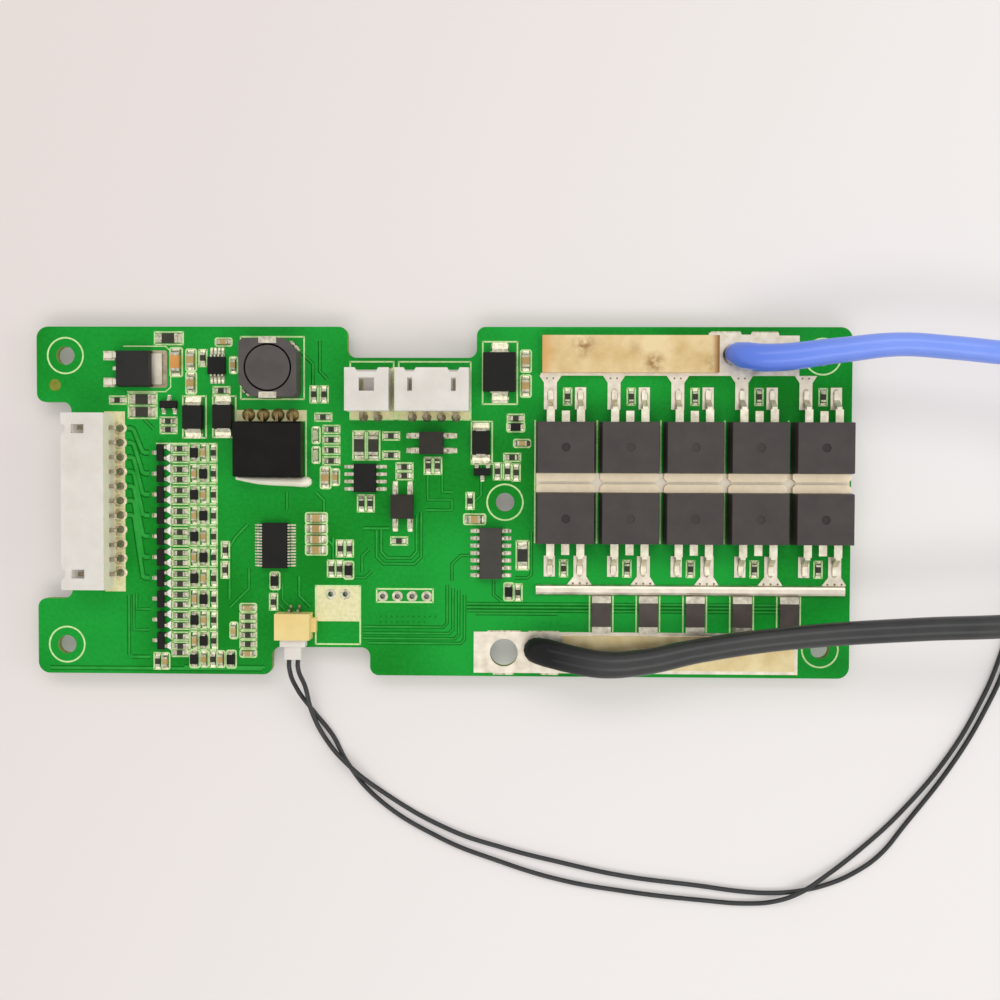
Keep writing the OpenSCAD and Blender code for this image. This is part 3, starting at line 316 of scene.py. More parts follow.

# the black one is the same PVC: near black; beside the joint painted shade makes it blacker, and it is
# rougher there
sockets = {"Roughness": 0.4, "Specular_IOR_Level": 0.35, "Coat_Weight": 0.15}
blackInsulation, tree, shader, place = startMaterial("blackPvcInsulation", **sockets)
tone = addSpread(tree, shader, place, 0.008, ["#262626", "#343433"], relief=(0.25, 0.0002))
shadeNearJoint = jointShadeFade(tree, place, 0.019, 0.03)
# painted shade: blacker towards the soldered end
blend = {0: shadeNearJoint, 6: tone, 7: hexColor("#050505")}
addNode(tree, "Mix", blend, into=shader.inputs["Base Color"], out=2, data_type="RGBA")
dull = {"Value": shadeNearJoint, "To Min": 0.38, "To Max": 0.95}
addNode(tree, "MapRange", dull, into=shader.inputs["Roughness"])

# thin wire insulation: black, a little shinier, with a faint waviness
sockets = {"Roughness": 0.38, "Specular_IOR_Level": 0.35, "Coat_Weight": 0.1}
wireInsulation, tree, shader, place = startMaterial("blackWireInsulation", **sockets)
addSpread(tree, shader, place, 0.004, ["#1f1f20", "#2b2b2c"], relief=(0.2, 0.0001))

sensorWire = {
    "slot": "black_insulation", "paint": wireInsulation, "diameter": 0.0008, "length": 0.198,
    "end": "fitting", "stiffness": "medium", "with": ["sensor_plug", "sensor_bead"], "fullness": [],
}
# points in mm along each route, fullness is the swell of the first points after the joint
cordSettings = {
    "blueLead": {
        "node": "blue_lead", "slot": "blue_insulation", "paint": leadInsulation,
        "diameter": 0.0039, "length": 0.109, "exit": (0.05, 0.0253, 0.0044),
        "end": "bare", "stiffness": "stiff", "with": ["lead_ends"],
        "points": [
            (50, 25.25, 4.4), (50, 25.25, 6), (51.2, 24.75, 8.2), (54.4, 24.25, 10), (66.2, 25.35, 12.2),
            (75, 26.15, 13.2), (83, 25.65, 13.5), (91, 24.85, 13.5), (99, 24.25, 12.4), (106, 23.85, 9.6),
            (112, 23.65, 5.8), (118, 23.55, 2.8), (126, 22.95, 2), (134, 19.45, 2), (138.5, 11.95, 2),
            (138, 2.95, 2),
        ],
        "fullness": [0.8, 1.0, 1.16, 1.2, 1.08],
    },
    "blackLead": {
        "node": "black_lead", "slot": "black_insulation", "paint": blackInsulation,
        "diameter": 0.0039, "length": 0.1215, "exit": (0.0165, -0.0251, 0.0044),
        "end": "bare", "stiffness": "stiff", "with": ["lead_ends"],
        "points": [
            (16.5, -25.1, 4.4), (16.5, -25.1, 6), (18.2, -25.3, 7.6), (22.4, -26.2, 8.6), (27.6, -27, 8.8),
            (34, -26.6, 8.8), (43.8, -24.5, 9.2), (57, -22.3, 10.5), (79, -20.2, 13), (91.6, -19.6, 13.5),
            (99, -19.2, 12.6), (106, -18.8, 9.8), (117, -17.6, 3.2), (124, -15.8, 2), (131, -12.4, 2),
        ],
        "fullness": [0.9, 1.15, 1.22, 1.2, 1.2, 1.15, 1.05],
    },
    "sensorWireA": {
        **sensorWire, "node": "sensor_wire_1", "exit": (-0.0259, -0.027, 0.00535),
        "points": [
            (-25.9, -27, 5.35), (-25.9, -28.5, 5.35), (-25.05, -32.6, 2.8), (-22.65, -36.7, 0.9),
            (-19.15, -41.3, 0.4), (-16.75, -45.8, 0.4), (-11.85, -51.8, 0.4), (-0.25, -59.2, 0.4),
            (10.05, -63.2, 0.4), (20.85, -66.4, 0.4), (31.45, -68.2, 0.4), (45.45, -69.7, 0.4),
            (54.05, -70.2, 0.4), (58.45, -69.6, 0.8), (62.45, -67.9, 1.45), (66.65, -65.4, 0.8),
            (73.95, -59.7, 0.4), (80.25, -53.6, 0.4), (88.25, -43.7, 0.4), (93.45, -34.6, 0.4),
            (96.25, -28, 0.4), (98.95, -18, 0.4), (100.55, -7, 0.4), (100.55, 8, 0.4),
        ],
    },
    "sensorWireB": {
        **sensorWire, "node": "sensor_wire_2", "exit": (-0.0244, -0.027, 0.00535),
        "points": [
            (-24.4, -27, 5.35), (-24.4, -28.5, 5.35), (-23.55, -32.3, 3), (-22.65, -36.7, 1.95),
            (-20.35, -42, 0.4), (-16.75, -45.8, 1.45), (-10.75, -50.9, 0.4), (1.55, -57.8, 0.4),
            (11.05, -60.9, 0.4), (20.85, -63.3, 0.4), (31.45, -65.5, 0.4), (45.45, -67.2, 0.4),
            (52.75, -68.1, 0.4), (57.65, -68.3, 0.4), (62.45, -67.9, 0.4), (67.65, -66.6, 0.4),
            (72.05, -64.6, 0.4), (76.45, -61.4, 0.4), (80.65, -56.2, 0.4), (89.45, -44.4, 0.4),
            (94.65, -35.2, 0.4), (97.35, -29, 0.4), (100.15, -18, 0.4), (101.65, -7, 0.4), (101.65, 8, 0.4),
        ],
    },
}
for name, settings in cordSettings.items():
    run = zip(settings["points"], settings["fullness"] + [1] * len(settings["points"]))
    cord = sweep(name, [list(run)], settings["diameter"] / 2, 5, steps=10, capped=True)
    cord.data.materials.append(settings["paint"])
    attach(cord, "root")
    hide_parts(settings["node"])
    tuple(settings["exit"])
    [nodes[other] for other in settings["with"]]
print("cords laid")


def dress(material, *names):
    for name in names:
        for slot in nodes[name].material_slots:
            slot.material = material


def dressWhere(name, material, test):
    # a second finish on the faces whose middle and normal pass the test
    piece = nodes[name]
    piece.data.materials.append(material)
    last = len(piece.data.materials) - 1
    for face in piece.data.polygons:
        if test(face.center, face.normal):
            face.material_index = last


def plastic(name, colors, grain=0.0004, rough=(0.5, 0.65), gloss=0.25, bump=0.15):
    # moulded parts: a slow drift of tone and a fine sandy skin, each call says what differs
    material, tree, shader, place = startMaterial(name, Specular_IOR_Level=gloss)
    addSpread(tree, shader, place, 0.004, colors, rough=rough)
    grit = addNode(tree, "TexNoise", {"Vector": place, "Scale": 1 / grain, "Detail": 2})
    relief = {"Strength": bump, "Distance": 0.00004, "Height": grit.outputs["Fac"]}
    addNode(tree, "Bump", relief, into=shader.inputs["Normal"])
    return material


def tinned(name, colors, flow=0.0015, rough=(0.28, 0.45), bump=0.3, depth=0.0001):
    # metal with the default IOR; the flow of solder or the grain of plating gives tone and relief
    material, tree, shader, place = startMaterial(name, Metallic=1.0)
    addSpread(tree, shader, place, flow, colors, rough=rough, relief=(bump, depth))
    return material


# epoxy lacquer screened on the board: satin green, with a slow drift and a fine mottle of tone
solderMask, tree, shader, place = startMaterial("greenSolderMask", Roughness=0.4, Specular_IOR_Level=0.1)
wide = addNode(tree, "TexNoise", {"Vector": place, "Scale": 1 / 0.03, "Detail": 2})
fine = addNode(tree, "TexNoise", {"Vector": place, "Scale": 1 / 0.0006, "Detail": 3})
sumOfBoth = {0: fine.outputs["Fac"], 1: 0.25, 2: wide.outputs["Fac"]}
sumOfBoth = addNode(tree, "Math", sumOfBoth, operation="MULTIPLY_ADD")
ramp = addNode(tree, "ValToRGB", {"Fac": sumOfBoth.outputs[0]}, into=shader.inputs["Base Color"])
setStops(ramp, ["#0c811d", "#1aa238"], [0.48, 0.76])
relief = {"Strength": 0.1, "Distance": 0.00003, "Height": fine.outputs["Fac"]}
addNode(tree, "Bump", relief, into=shader.inputs["Normal"])
dress(solderMask, "circuit_board")

# sawn glass-epoxy laminate: pale yellow-green, dull, with the layers of cloth showing
clothLayer = 0.0002
laminate, tree, shader, place = startMaterial("sawnGlassEpoxy", Roughness=0.8, Specular_IOR_Level=0.2)
split = addNode(tree, "SeparateXYZ", {0: place})
layers = {0: split.outputs["Z"], 1: 2 * math.pi / clothLayer}
layers = addNode(tree, "Math", layers, operation="MULTIPLY")
wave = addNode(tree, "Math", {0: layers.outputs[0]}, operation="SINE")
ramp = addNode(tree, "ValToRGB", {"Fac": wave.outputs[0]}, into=shader.inputs["Base Color"])
setStops(ramp, ["#8f9f58", "#a9b473"], [0, 1])
dressWhere("circuit_board", laminate, lambda c, n: abs(n.z) < 0.5)

# hot-air levelled solder: bright, creamy, pooled in low waves
dress(tinned("levelledSolder", ["#c6bca9", "#e0d6c6"], flow=0.0018, bump=0.35), "tinned_lands")
dress(tinned("solderRidge", ["#cdc3b1", "#e0d7c7"], flow=0.0024, bump=0.5), "solder_bar")
# the lumps that hold the leads are greyer, with flux on them
dress(tinned("leadSolder", ["#8f877b", "#cfc7b8"], flow=0.0009, rough=(0.3, 0.5), bump=0.5), "lead_joints")

# rolled copper dulled by flux and heat: tan, orange at one end, browned in blots where the iron stood
barSettings = {
    "stains": [   # middle, reach and depth of each blot
        (0.0243, 0.0268, 0.0026, 0.75), (0.0363, 0.0238, 0.0022, 0.85),
        (0.0331, 0.0265, 0.0016, 0.25), (0.0463, 0.0235, 0.002, 0.5),
    ],
    "stainHeight": 0.005,
    "burned": {"start": 0.0013, "stop": 0.0002, "depth": 0.9, "color": "#7a4f27"},   # before the right end
    "warm": {"stop": 0.0022, "depth": 0.8, "color": "#c08a48"},   # after the left end
}
barCopper, tree, shader, place = startMaterial("tarnishedCopperBar", Metallic=1.0)
tone = addSpread(tree, shader, place, 0.006, ["#bda271", "#d6c196"], stops=(0.35, 0.65), detail=4,
                 rough=(0.5, 0.36), relief=(0.2, 0.0001))
ragged = {"Vector": place, "Scale": 1 / 0.0012, "Detail": 4, "Roughness": 0.7}
ragged = addNode(tree, "TexNoise", ragged)
ragged = {"Value": ragged.outputs["Fac"], "From Min": 0.36, "From Max": 0.6}
ragged = addNode(tree, "MapRange", ragged)
mark = 0
for x, y, reach, depth in barSettings["stains"]:
    middle = {0: place, 1: (x, y, barSettings["stainHeight"])}
    away = addNode(tree, "VectorMath", middle, operation="DISTANCE").outputs["Value"]
    fade = {"Value": away, "From Min": reach * 0.2, "From Max": reach, "To Min": depth, "To Max": 0}
    fade = addNode(tree, "MapRange", fade).outputs[0]
    mark = addNode(tree, "Math", {0: mark, 1: fade}, operation="MAXIMUM").outputs[0]
mark = addNode(tree, "Math", {0: mark, 1: ragged.outputs[0]}, operation="MULTIPLY").outputs[0]
along = addNode(tree, "SeparateXYZ", {0: place}).outputs["X"]
low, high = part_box("copper_bar")
burned, warm = barSettings["burned"], barSettings["warm"]
fade = {"From Min": high.x - burned["start"], "From Max": high.x - burned["stop"], "To Max": burned["depth"]}
fade = addNode(tree, "MapRange", {"Value": along, **fade}).outputs[0]
mark = addNode(tree, "Math", {0: mark, 1: fade}, operation="MAXIMUM").outputs[0]
fade = {"From Min": low.x, "From Max": low.x + warm["stop"], "To Min": warm["depth"], "To Max": 0}
fade = addNode(tree, "MapRange", {"Value": along, **fade}).outputs[0]
blend = {0: fade, 6: tone, 7: hexColor(warm["color"])}
blend = addNode(tree, "Mix", blend, data_type="RGBA")
blend = {0: mark, 6: blend.outputs[2], 7: hexColor(burned["color"])}
addNode(tree, "Mix", blend, into=shader.inputs["Base Color"], out=2, data_type="RGBA")
dress(barCopper, "copper_bar")
# the thin strip is rolled copper too: paler, smoother, unstained
stripCopper = tinned("rolledCopperStrip", ["#c5b080", "#d6c79c"], flow=0.003, rough=(0.34, 0.44), bump=0.1)
dress(stripCopper, "copper_strip")

# filled epoxy moulding compound: dark, dull, fine sandy skin; the large bodies are greyer
powerMoulding = plastic("greyMouldingCompound", ["#393331", "#443e3b"], gloss=0.35, rough=(0.5, 0.62))
mosfets = ["mosfet_%d" % (i + 1) for i in range(10)]
dress(powerMoulding, *mosfets)
# painted shade in the pit that the ejector pin leaves, deepest on the end columns
pitSettings = {
    "radius": 0.00077, "under": 0.0003,
    "endColumns": ["#262120", "#2f2a28"], "otherColumns": ["#36312e", "#413b38"],
}
for i, name in enumerate(mosfets):
    low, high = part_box(name)
    middle = ((low + high) / 2).xy
    bottom = high.z - pitSettings["under"]
    pit = pitSettings["endColumns" if i % 5 in (0, 4) else "otherColumns"]
    pit = plastic("paintedPitShade%d" % (i + 1), pit, gloss=0.3)
    dressWhere(name, pit, lambda c, n: (c.xy - middle).length < pitSettings["radius"] and c.z > bottom)
blackMoulding = plastic("blackMouldingCompound", ["#131310", "#1c1b18"], gloss=0.16)
dress(blackMoulding, "monitor_chip", "small_chips", "power_diodes", "transistors", "clamp_diodes")
# other batches of the same compound: worn, dusty, brownish
dress(plastic("wornMouldingCompound", ["#1b1b18", "#262522"], gloss=0.22), "regulator_body")
dress(plastic("dustyMouldingCompound", ["#3a3833", "#45433c"], gloss=0.25), "logic_chip")
dress(plastic("brownMouldingCompound", ["#25241e", "#34302a"], gloss=0.2), "optocouplers")
# baked coating of the shunts: brown-grey, rough
dress(plastic("shuntCoating", ["#3f3733", "#524944"], gloss=0.3), "shunt_resistors")
# potted module: near black, closed and a little smoother
dress(plastic("pottedModuleShell", ["#0d0c0a", "#151412"], gloss=0.12, rough=(0.3, 0.42)), "sealed_module")

# matt tin plate on stamped copper: warm grey-cream tabs, brighter bent legs
tabTin = tinned("mattTinPlate", ["#d6c5a8", "#e9dbc2"], flow=0.003, rough=(0.4, 0.55), bump=0.15)
legTin = tinned("brightTinPlate", ["#c0b7a0", "#e6e0cc"], flow=0.0014, rough=(0.4, 0.52), bump=0.15)
dress(tabTin, "mosfet_frames_upper", "mosfet_frames_lower")
legStart = 0.0002   # the legs begin this far inside the end of the body
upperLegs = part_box("mosfet_1")[1].y - legStart
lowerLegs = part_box("mosfet_6")[0].y + legStart
dressWhere("mosfet_frames_upper", legTin, lambda c, n: c.y > upperLegs)
dressWhere("mosfet_frames_lower", legTin, lambda c, n: c.y < lowerLegs)
# barrel-plated tin on small legs and clips: greyer, grainy
dress(tinned("partTinPlate", ["#a29b8a", "#d3ccba"], flow=0.0008, rough=(0.3, 0.45)),
      "small_legs", "shunt_ends", "logic_chip_legs", "monitor_chip_legs", "small_chip_legs",
      "optocoupler_legs", "choke_terminals", "lead_ends")
# the same on wide straps looks smoother
strapTin = tinned("smoothTinPlate", ["#bdb5a3", "#d9d2c1"], flow=0.003, rough=(0.35, 0.5), bump=0.1)
dress(strapTin, "power_diode_ends", "regulator_frame")
# dipped end caps of the chips: uneven, with dark low spots
dress(tinned("chipEndCaps", ["#8a8672", "#cdc9b3"], flow=0.0005, rough=(0.3, 0.45), bump=0.4), "chip_ends")
# drawn pins: tin dulled by flux, quite brown on the module
dress(tinned("pinTinPlate", ["#857b66", "#aba18b"], flow=0.001, rough=(0.42, 0.56)),
      "balance_pins", "two_way_pins", "four_way_pins", "sensor_socket_pins")
dress(tinned("fluxedPin", ["#6b5836", "#a5906a"], flow=0.0008, rough=(0.35, 0.5)), "sealed_module_pins")

# moulded nylon: milky white, waxy, light passes a little way in
whiteNylon = plastic("whiteMouldedNylon", ["#dcd6ce", "#e6e1da"], gloss=0.3, rough=(0.35, 0.5), bump=0.08)
nylon = whiteNylon.node_tree.nodes["Principled BSDF"].inputs
nylon["Subsurface Weight"].default_value = 0.5
nylon["Subsurface Radius"].default_value = (1.0, 0.9, 0.75)
nylon["Subsurface Scale"].default_value = 0.002
dress(whiteNylon, "balance_socket", "two_way_socket", "four_way_socket", "sensor_plug")
# painted light: the balance socket's faces towards +X and the small sockets' faces towards -Y are painted
# lighter and warmer than the nylon
paintedLightNylon = plastic("paintedLightNylonWall", ["#f6eed4", "#fff8e4"], gloss=0.2, rough=(0.45, 0.6), bump=0.08)
dressWhere("balance_socket", paintedLightNylon, lambda c, n: n.x > 0.5)
dressWhere("two_way_socket", paintedLightNylon, lambda c, n: n.y < -0.5)
dressWhere("four_way_socket", paintedLightNylon, lambda c, n: n.y < -0.5)
# the same nylon dyed beige
beigeNylon = plastic("beigeMouldedNylon", ["#e6cb82", "#efd894"], gloss=0.3, rough=(0.35, 0.5), bump=0.08)
dress(beigeNylon, "sensor_socket")

# pressed and fired ferrite: grey-brown, granular
dress(plastic("firedFerrite", ["#46403d", "#534d4b"], grain=0.0003, gloss=0.35, rough=(0.45, 0.6), bump=0.4),
      "choke_shield", "choke_drum")
# enamelled wire: clear varnish over drawn copper, red-brown
dress(tinned("enamelledCopperWire", ["#7a4a25", "#a3683a"], flow=0.0006, rough=(0.25, 0.35)), "choke_winding")
# cast silicone: cream, smooth, soft gloss
glue = plastic("castSiliconeGlue", ["#f6f0da", "#fffae8"], gloss=0.35, rough=(0.3, 0.45), bump=0.05)
dress(glue, "glue_bead")
# screened thick film on resistors: dark, fine grained
dress(plastic("thickFilmCoating", ["#232119", "#39362b"], grain=0.0002, gloss=0.3), "chip_resistors")
# fired ceramic of capacitors: tan; one orange body and two pale ones come from other batches
fired = {"grain": 0.0002, "gloss": 0.4, "rough": (0.3, 0.45)}
dress(plastic("firedCeramic", ["#a5884f", "#c2a36a"], **fired), "chip_capacitors")
orangeCeramic = plastic("orangeFiredCeramic", ["#c98a44", "#dc9f55"], **fired)
dressWhere("chip_capacitors", orangeCeramic, lambda c, n: c.x < -0.0445 and c.y > 0.02)
paleCeramic = plastic("paleFiredCeramic", ["#a9ab84", "#bcbd98"], **fired)
dressWhere("chip_capacitors", paleCeramic, lambda c, n: -0.023 < c.x < -0.021 and c.y > 0.006)
# cast epoxy: black, glossy drop round the sensor
dress(plastic("castEpoxyBead", ["#201f1e", "#2c2b29"], gloss=0.5, rough=(0.2, 0.3)), "sensor_bead")
print("finishes set")


# screened epoxy ink: cream, matt, a touch thinner and greener in spots
printInk, tree, shader, place = startMaterial("creamScreenInk", Roughness=0.6, Specular_IOR_Level=0.2)
addSpread(tree, shader, place, 0.0007, ["#d3d79c", "#efe6b8"], stops=(0.25, 0.6))
# the same ink in fine lines lets the green through, so it looks paler and greener
lineInk, tree, shader, place = startMaterial("thinScreenInk", Roughness=0.6, Specular_IOR_Level=0.2)
addSpread(tree, shader, place, 0.0005, ["#b5e090", "#d9efb4"], stops=(0.3, 0.65))


def selectWhere(piece, test):
    # select vertices by place in code, then go back to edit mode
    pick(piece)
    bpy.ops.object.mode_set(mode="EDIT")
    bpy.ops.mesh.select_mode(type="VERT")
    bpy.ops.mesh.select_all(action="DESELECT")
    bpy.ops.object.mode_set(mode="OBJECT")
    for vertex in piece.data.vertices:
        vertex.select = test(vertex.co)
    bpy.ops.object.mode_set(mode="EDIT")


def thicken(thick):
    # in edit mode: pull flat faces up into closed plates, and leave edit mode
    bpy.ops.mesh.select_all(action="SELECT")
    bpy.ops.mesh.extrude_region_move(TRANSFORM_OT_translate={"value": (0, 0, thick)})
    closePlates()


hair = 0.0000006   # lift between neighbours in a print, so that no two of them share a face


def layRectangles(name, material, rectangles, z, thick, corner=0, line=0):
    # rectangles are (left, front, right, back) in mm; with a line width only the rim is kept
    pick()
    bpy.ops.mesh.primitive_plane_add(size=1)
    template = settle(bpy.context.object)
    sheets = []
    for index, (left, front, right, back) in enumerate(rectangles):
        x, y = (left + right) / 2 * mm, (front + back) / 2 * mm
        size = ((right - left) * mm, (back - front) * mm, 1)
        sheets.append(copyAt(template, x, y, z + index % 9 * hair, scale=size))
    bpy.data.objects.remove(template)
    piece = joinPieces(name, sheets)
    bpy.ops.object.mode_set(mode="EDIT")
    bpy.ops.mesh.select_all(action="SELECT")
    if corner:
        bpy.ops.mesh.bevel(offset=corner, segments=3, affect="VERTICES")
        bpy.ops.mesh.select_all(action="SELECT")
    if line:
        bpy.ops.mesh.inset(thickness=line, use_individual=True)
        bpy.ops.mesh.delete(type="FACE")
    thicken(thick)
    finishPiece(piece, material)


def ringTemplate(inner, outer, thick, z, sides):
    # a disc, its middle inset and taken out, then pulled up
    pick()
    bpy.ops.mesh.primitive_circle_add(radius=outer, vertices=sides, fill_type="NGON", location=(0, 0, z))
    piece = settle(bpy.context.object)
    bpy.ops.object.mode_set(mode="EDIT")
    bpy.ops.mesh.select_all(action="SELECT")
    bpy.ops.mesh.inset(thickness=outer - inner)
    bpy.ops.mesh.delete(type="FACE")
    thicken(thick)
    return piece


chipKinds = {   # length of the body between its caps, width, and length of one end cap, in mm
    "small": {"middle": 1.0, "across": 0.8, "cap": 0.3},
    "medium": {"middle": 1.2, "across": 1.25, "cap": 0.4},
    "large": {"middle": 2.2, "across": 1.6, "cap": 0.5},
}


def readChips(nodeName):
    # place, turn and nearest kind of every chip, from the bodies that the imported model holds
    chips = []
    for low, high in solidBoxes(nodeName):
        size = ((high.x - low.x) / mm, (high.y - low.y) / mm)
        guesses = []
        for kind in chipKinds.values():
            for turned in (0, 1):
                miss = abs(kind["middle"] - size[turned]) + abs(kind["across"] - size[1 - turned])
                guesses.append((miss, turned, kind))
        miss, turned, kind = min(guesses, key=lambda guess: guess[0])
        x, y = (low.x + high.x) / 2 / mm, (low.y + high.y) / 2 / mm
        chips.append({"x": x, "y": y, "top": high.z / mm, "turned": turned, **kind})
    return chips


resistors = readChips("chip_resistors")
capacitors = readChips("chip_capacitors")

# in mm, apart from line, thick and the two corners
printSettings = {
    "line": 0.00027, "thick": 0.00002, "squareCorner": 0.00008, "roundCorner": 0.00045,
    "besideChip": 0.4, "pastChip": 0.75, "pastWideChip": 1.0, "wideChip": 1, "besideClamp": (0.95, 1.65),
    "channels": 10, "channelFirst": 8.3, "channelPitch": 3.61, "channelHalf": 1.72,
    "channelCells": [(-43.66, -41.96), (-41.96, -40.31), (-40.31, -38.63)],
    "channelZone": (-44, -26, -38.9, 10),
}
first, pitch = printSettings["channelFirst"], printSettings["channelPitch"]
channelRows = [first - i * pitch for i in range(printSettings["channels"])]


def chipFrame(chip):
    past = printSettings["pastWideChip" if chip["across"] > printSettings["wideChip"] else "pastChip"]
    along = chip["middle"] / 2 + chip["cap"] + past
    across = chip["across"] / 2 + printSettings["besideChip"]
    if chip["turned"]:
        along, across = across, along
    return (chip["x"] - along, chip["y"] - across, chip["x"] + along, chip["y"] + across)


def inChannels(x, y):
    left, front, right, back = printSettings["channelZone"]
    return left < x < right and front < y < back


squareFrames = [chipFrame(chip) for chip in resistors if not inChannels(chip["x"], chip["y"])]
roundFrames = [chipFrame(chip) for chip in capacitors if not inChannels(chip["x"], chip["y"])]
for left, right in printSettings["channelCells"]:
    for y in channelRows:
        squareFrames.append((left, y - printSettings["channelHalf"], right, y + printSettings["channelHalf"]))
for low, high in solidBoxes("clamp_diodes"):
    x, y = (low.x + high.x) / 2 / mm, (low.y + high.y) / 2 / mm
    if not inChannels(x, y):
        across, along = printSettings["besideClamp"]
        halfX, halfY = (across, along) if high.y - low.y > high.x - low.x else (along, across)
        roundFrames.append((x - halfX, y - halfY, x + halfX, y + halfY))
squareFrames += [
    (-34.68, 17.44, -23.47, 28.4),      # choke
    (-15.79, 14.0, -8.04, 24.15),       # two-way socket
    (-7.44, 14.0, 5.18, 24.15),         # four-way socket
    (6.97, 16.67, 13.17, 27.59),        # big diode
    (-21.76, -24.79, -13.79, -14.44),   # unfitted two-way socket
    (-11.2, -17.43, -1.22, -14.9),      # row of four holes
    (5.1, 6.4, 8.9, 13.95),             # low diode
    (-44.75, 10.75, -40.45, 18.2),      # middle diodes
    (-39.55, 10.85, -35.3, 18.2),
]
line, thick = printSettings["line"], printSettings["thick"]
corner = printSettings["squareCorner"]
layRectangles("squareOutlines", lineInk, squareFrames, boardTop, thick, corner, line)
corner = printSettings["roundCorner"]
layRectangles("roundOutlines", lineInk, roundFrames, boardTop + hair / 2, thick, corner, line)

# single lines: between the power transistors, beside the shunts and round the module
lineSettings = {
    "columnEnds": (-7.0, 14.1), "columnSides": (0.25, 0.52),   # to the right of each body but the last
    "shuntEnds": (-22.25, -16.0), "besideShunt": 0.4, "halfLine": 0.12,
    "others": [(-23.4, 2.4, -23.15, 15.7), (20.6, -22.75, 60.9, -22.5), (-49.3, 9.8, -43.75, 10.02)],
    "lift": 0.000007,   # these cross the outlines and lie on them
}
front, back = lineSettings["columnEnds"]
start, stop = lineSettings["columnSides"]
lines = [(16.0, front, 16.25, back)]
for name in mosfets[:4]:
    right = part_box(name)[1].x / mm
    lines.append((right + start, front, right + stop, back))
front, back = lineSettings["shuntEnds"]
half = lineSettings["halfLine"]
for low, high in solidBoxes("shunt_resistors"):
    for x in (low.x / mm - lineSettings["besideShunt"], high.x / mm + lineSettings["besideShunt"]):
        lines.append((x - half, front, x + half, back))
lines += lineSettings["others"]
layRectangles("printedLines", lineInk, lines, boardTop + lineSettings["lift"], thick)

fields = [
    (-58.3, -15.75, -54.7, 15.4),       # under the balance socket's pins
    (-15.7, 14.1, 5.1, 15.9), (-8.6, 15, -7.2, 23),   # under the small sockets
    (-35.6, 13.8, -23.3, 15.7),         # under the module's pins
    (-21.6, -20.7, -13.95, -16.5), (-21.6, -15.5, -13.95, -14.55),   # unfitted socket, round its holes
    (-21.6, -16.5, -19.58, -15.5), (-18.58, -16.5, -17.04, -15.5), (-16.04, -16.5, -13.95, -15.5),
]
layRectangles("printedFields", printInk, fields, boardTop, thick / 2)

screwRing = {
    "inner": 0.00293, "outer": 0.00321, "sides": 64,
    "places": [(-65, 25), (-65, -25), (65, 25), (65, -25), (11, 0)],
}
template = ringTemplate(screwRing["inner"], screwRing["outer"], thick, boardTop, screwRing["sides"])
spots = [(x * mm, y * mm) for x, y in screwRing["places"]]
placeCopies("screwHoleRings", template, spots, lineInk)
print("print laid")


# solder wetted up the ends of the chips: bright and uneven
padSolder = tinned("wettedPadSolder", ["#969178", "#d4d0b8"], flow=0.0006, rough=(0.25, 0.42), bump=0.5)
padSettings = {"reach": 0.62, "wideReach": 0.744, "side": 0.06, "climb": 0.55}   # climb: share of the height


def wedgeTemplate():
    # unit fillet: high against the part at x = 0, feathered out to x = 1, with a hollow slope
    slope = [(0.35, 0.5, 1.0), (0.7, 0.24, 0.97), (1, 0.1, 0.86)]   # place, height and width
    pick()
    bpy.ops.mesh.primitive_cube_add(size=1, location=(0.5, 0, 0.5))
    piece = settle(bpy.context.object)
    bpy.ops.object.mode_set(mode="EDIT")
    for at, height, width in slope[:-1]:
        bpy.ops.mesh.select_all(action="SELECT")
        bpy.ops.mesh.bisect(plane_co=(at, 0, 0), plane_no=(1, 0, 0))
    for at, height, width in slope:
        selectWhere(piece, lambda p: abs(p.x - at) < 0.01 and p.z > 0.5)
        bpy.ops.transform.translate(value=(0, 0, height - 1))
        selectWhere(piece, lambda p: abs(p.x - at) < 0.01)
        bpy.ops.transform.resize(value=(1, width, 1))
    selectWhere(piece, lambda p: p.z > 0.01 and abs(p.y) > 0.3)
    bpy.ops.transform.resize(value=(1, 0.86, 1))
    bpy.ops.object.mode_set(mode="OBJECT")
    return piece


wedge = wedgeTemplate()
fillets = []
for chip in resistors + capacitors:
    end = chip["middle"] / 2 + chip["cap"]
    reach = padSettings["wideReach" if chip["across"] > printSettings["wideChip"] else "reach"]
    wide = chip["across"] + 2 * padSettings["side"]
    climb = (chip["top"] - boardTop / mm) * padSettings["climb"]
    for half in (0, 1):
        turn = chip["turned"] * math.pi / 2 + half * math.pi
        x, y = chip["x"] + end * math.cos(turn), chip["y"] + end * math.sin(turn)
        fillets.append(copyAt(wedge, x * mm, y * mm, boardTop, turn, (reach * mm, wide * mm, climb * mm)))
finishPiece(joinPieces("chipSolder", fillets), padSolder)
print("chips soldered")


def moundTemplate(sides, levels, turn=0):
    # a disc pulled up ring by ring; levels are (height, width share) from the board up
    pick()
    bpy.ops.mesh.primitive_circle_add(radius=1, vertices=sides, fill_type="NGON", rotation=(0, 0, turn))
    piece = settle(bpy.context.object)
    bpy.ops.object.mode_set(mode="EDIT")
    bpy.ops.mesh.select_mode(type="FACE")
    bpy.ops.mesh.select_all(action="SELECT")
    past, width = 0, 1
    for height, share in levels:
        bpy.ops.mesh.extrude_region_move(TRANSFORM_OT_translate={"value": (0, 0, height - past)})
        bpy.ops.transform.resize(value=(share / width, share / width, 1), center_override=(0, 0, height))
        past, width = height, share
    closePlates()
    return piece


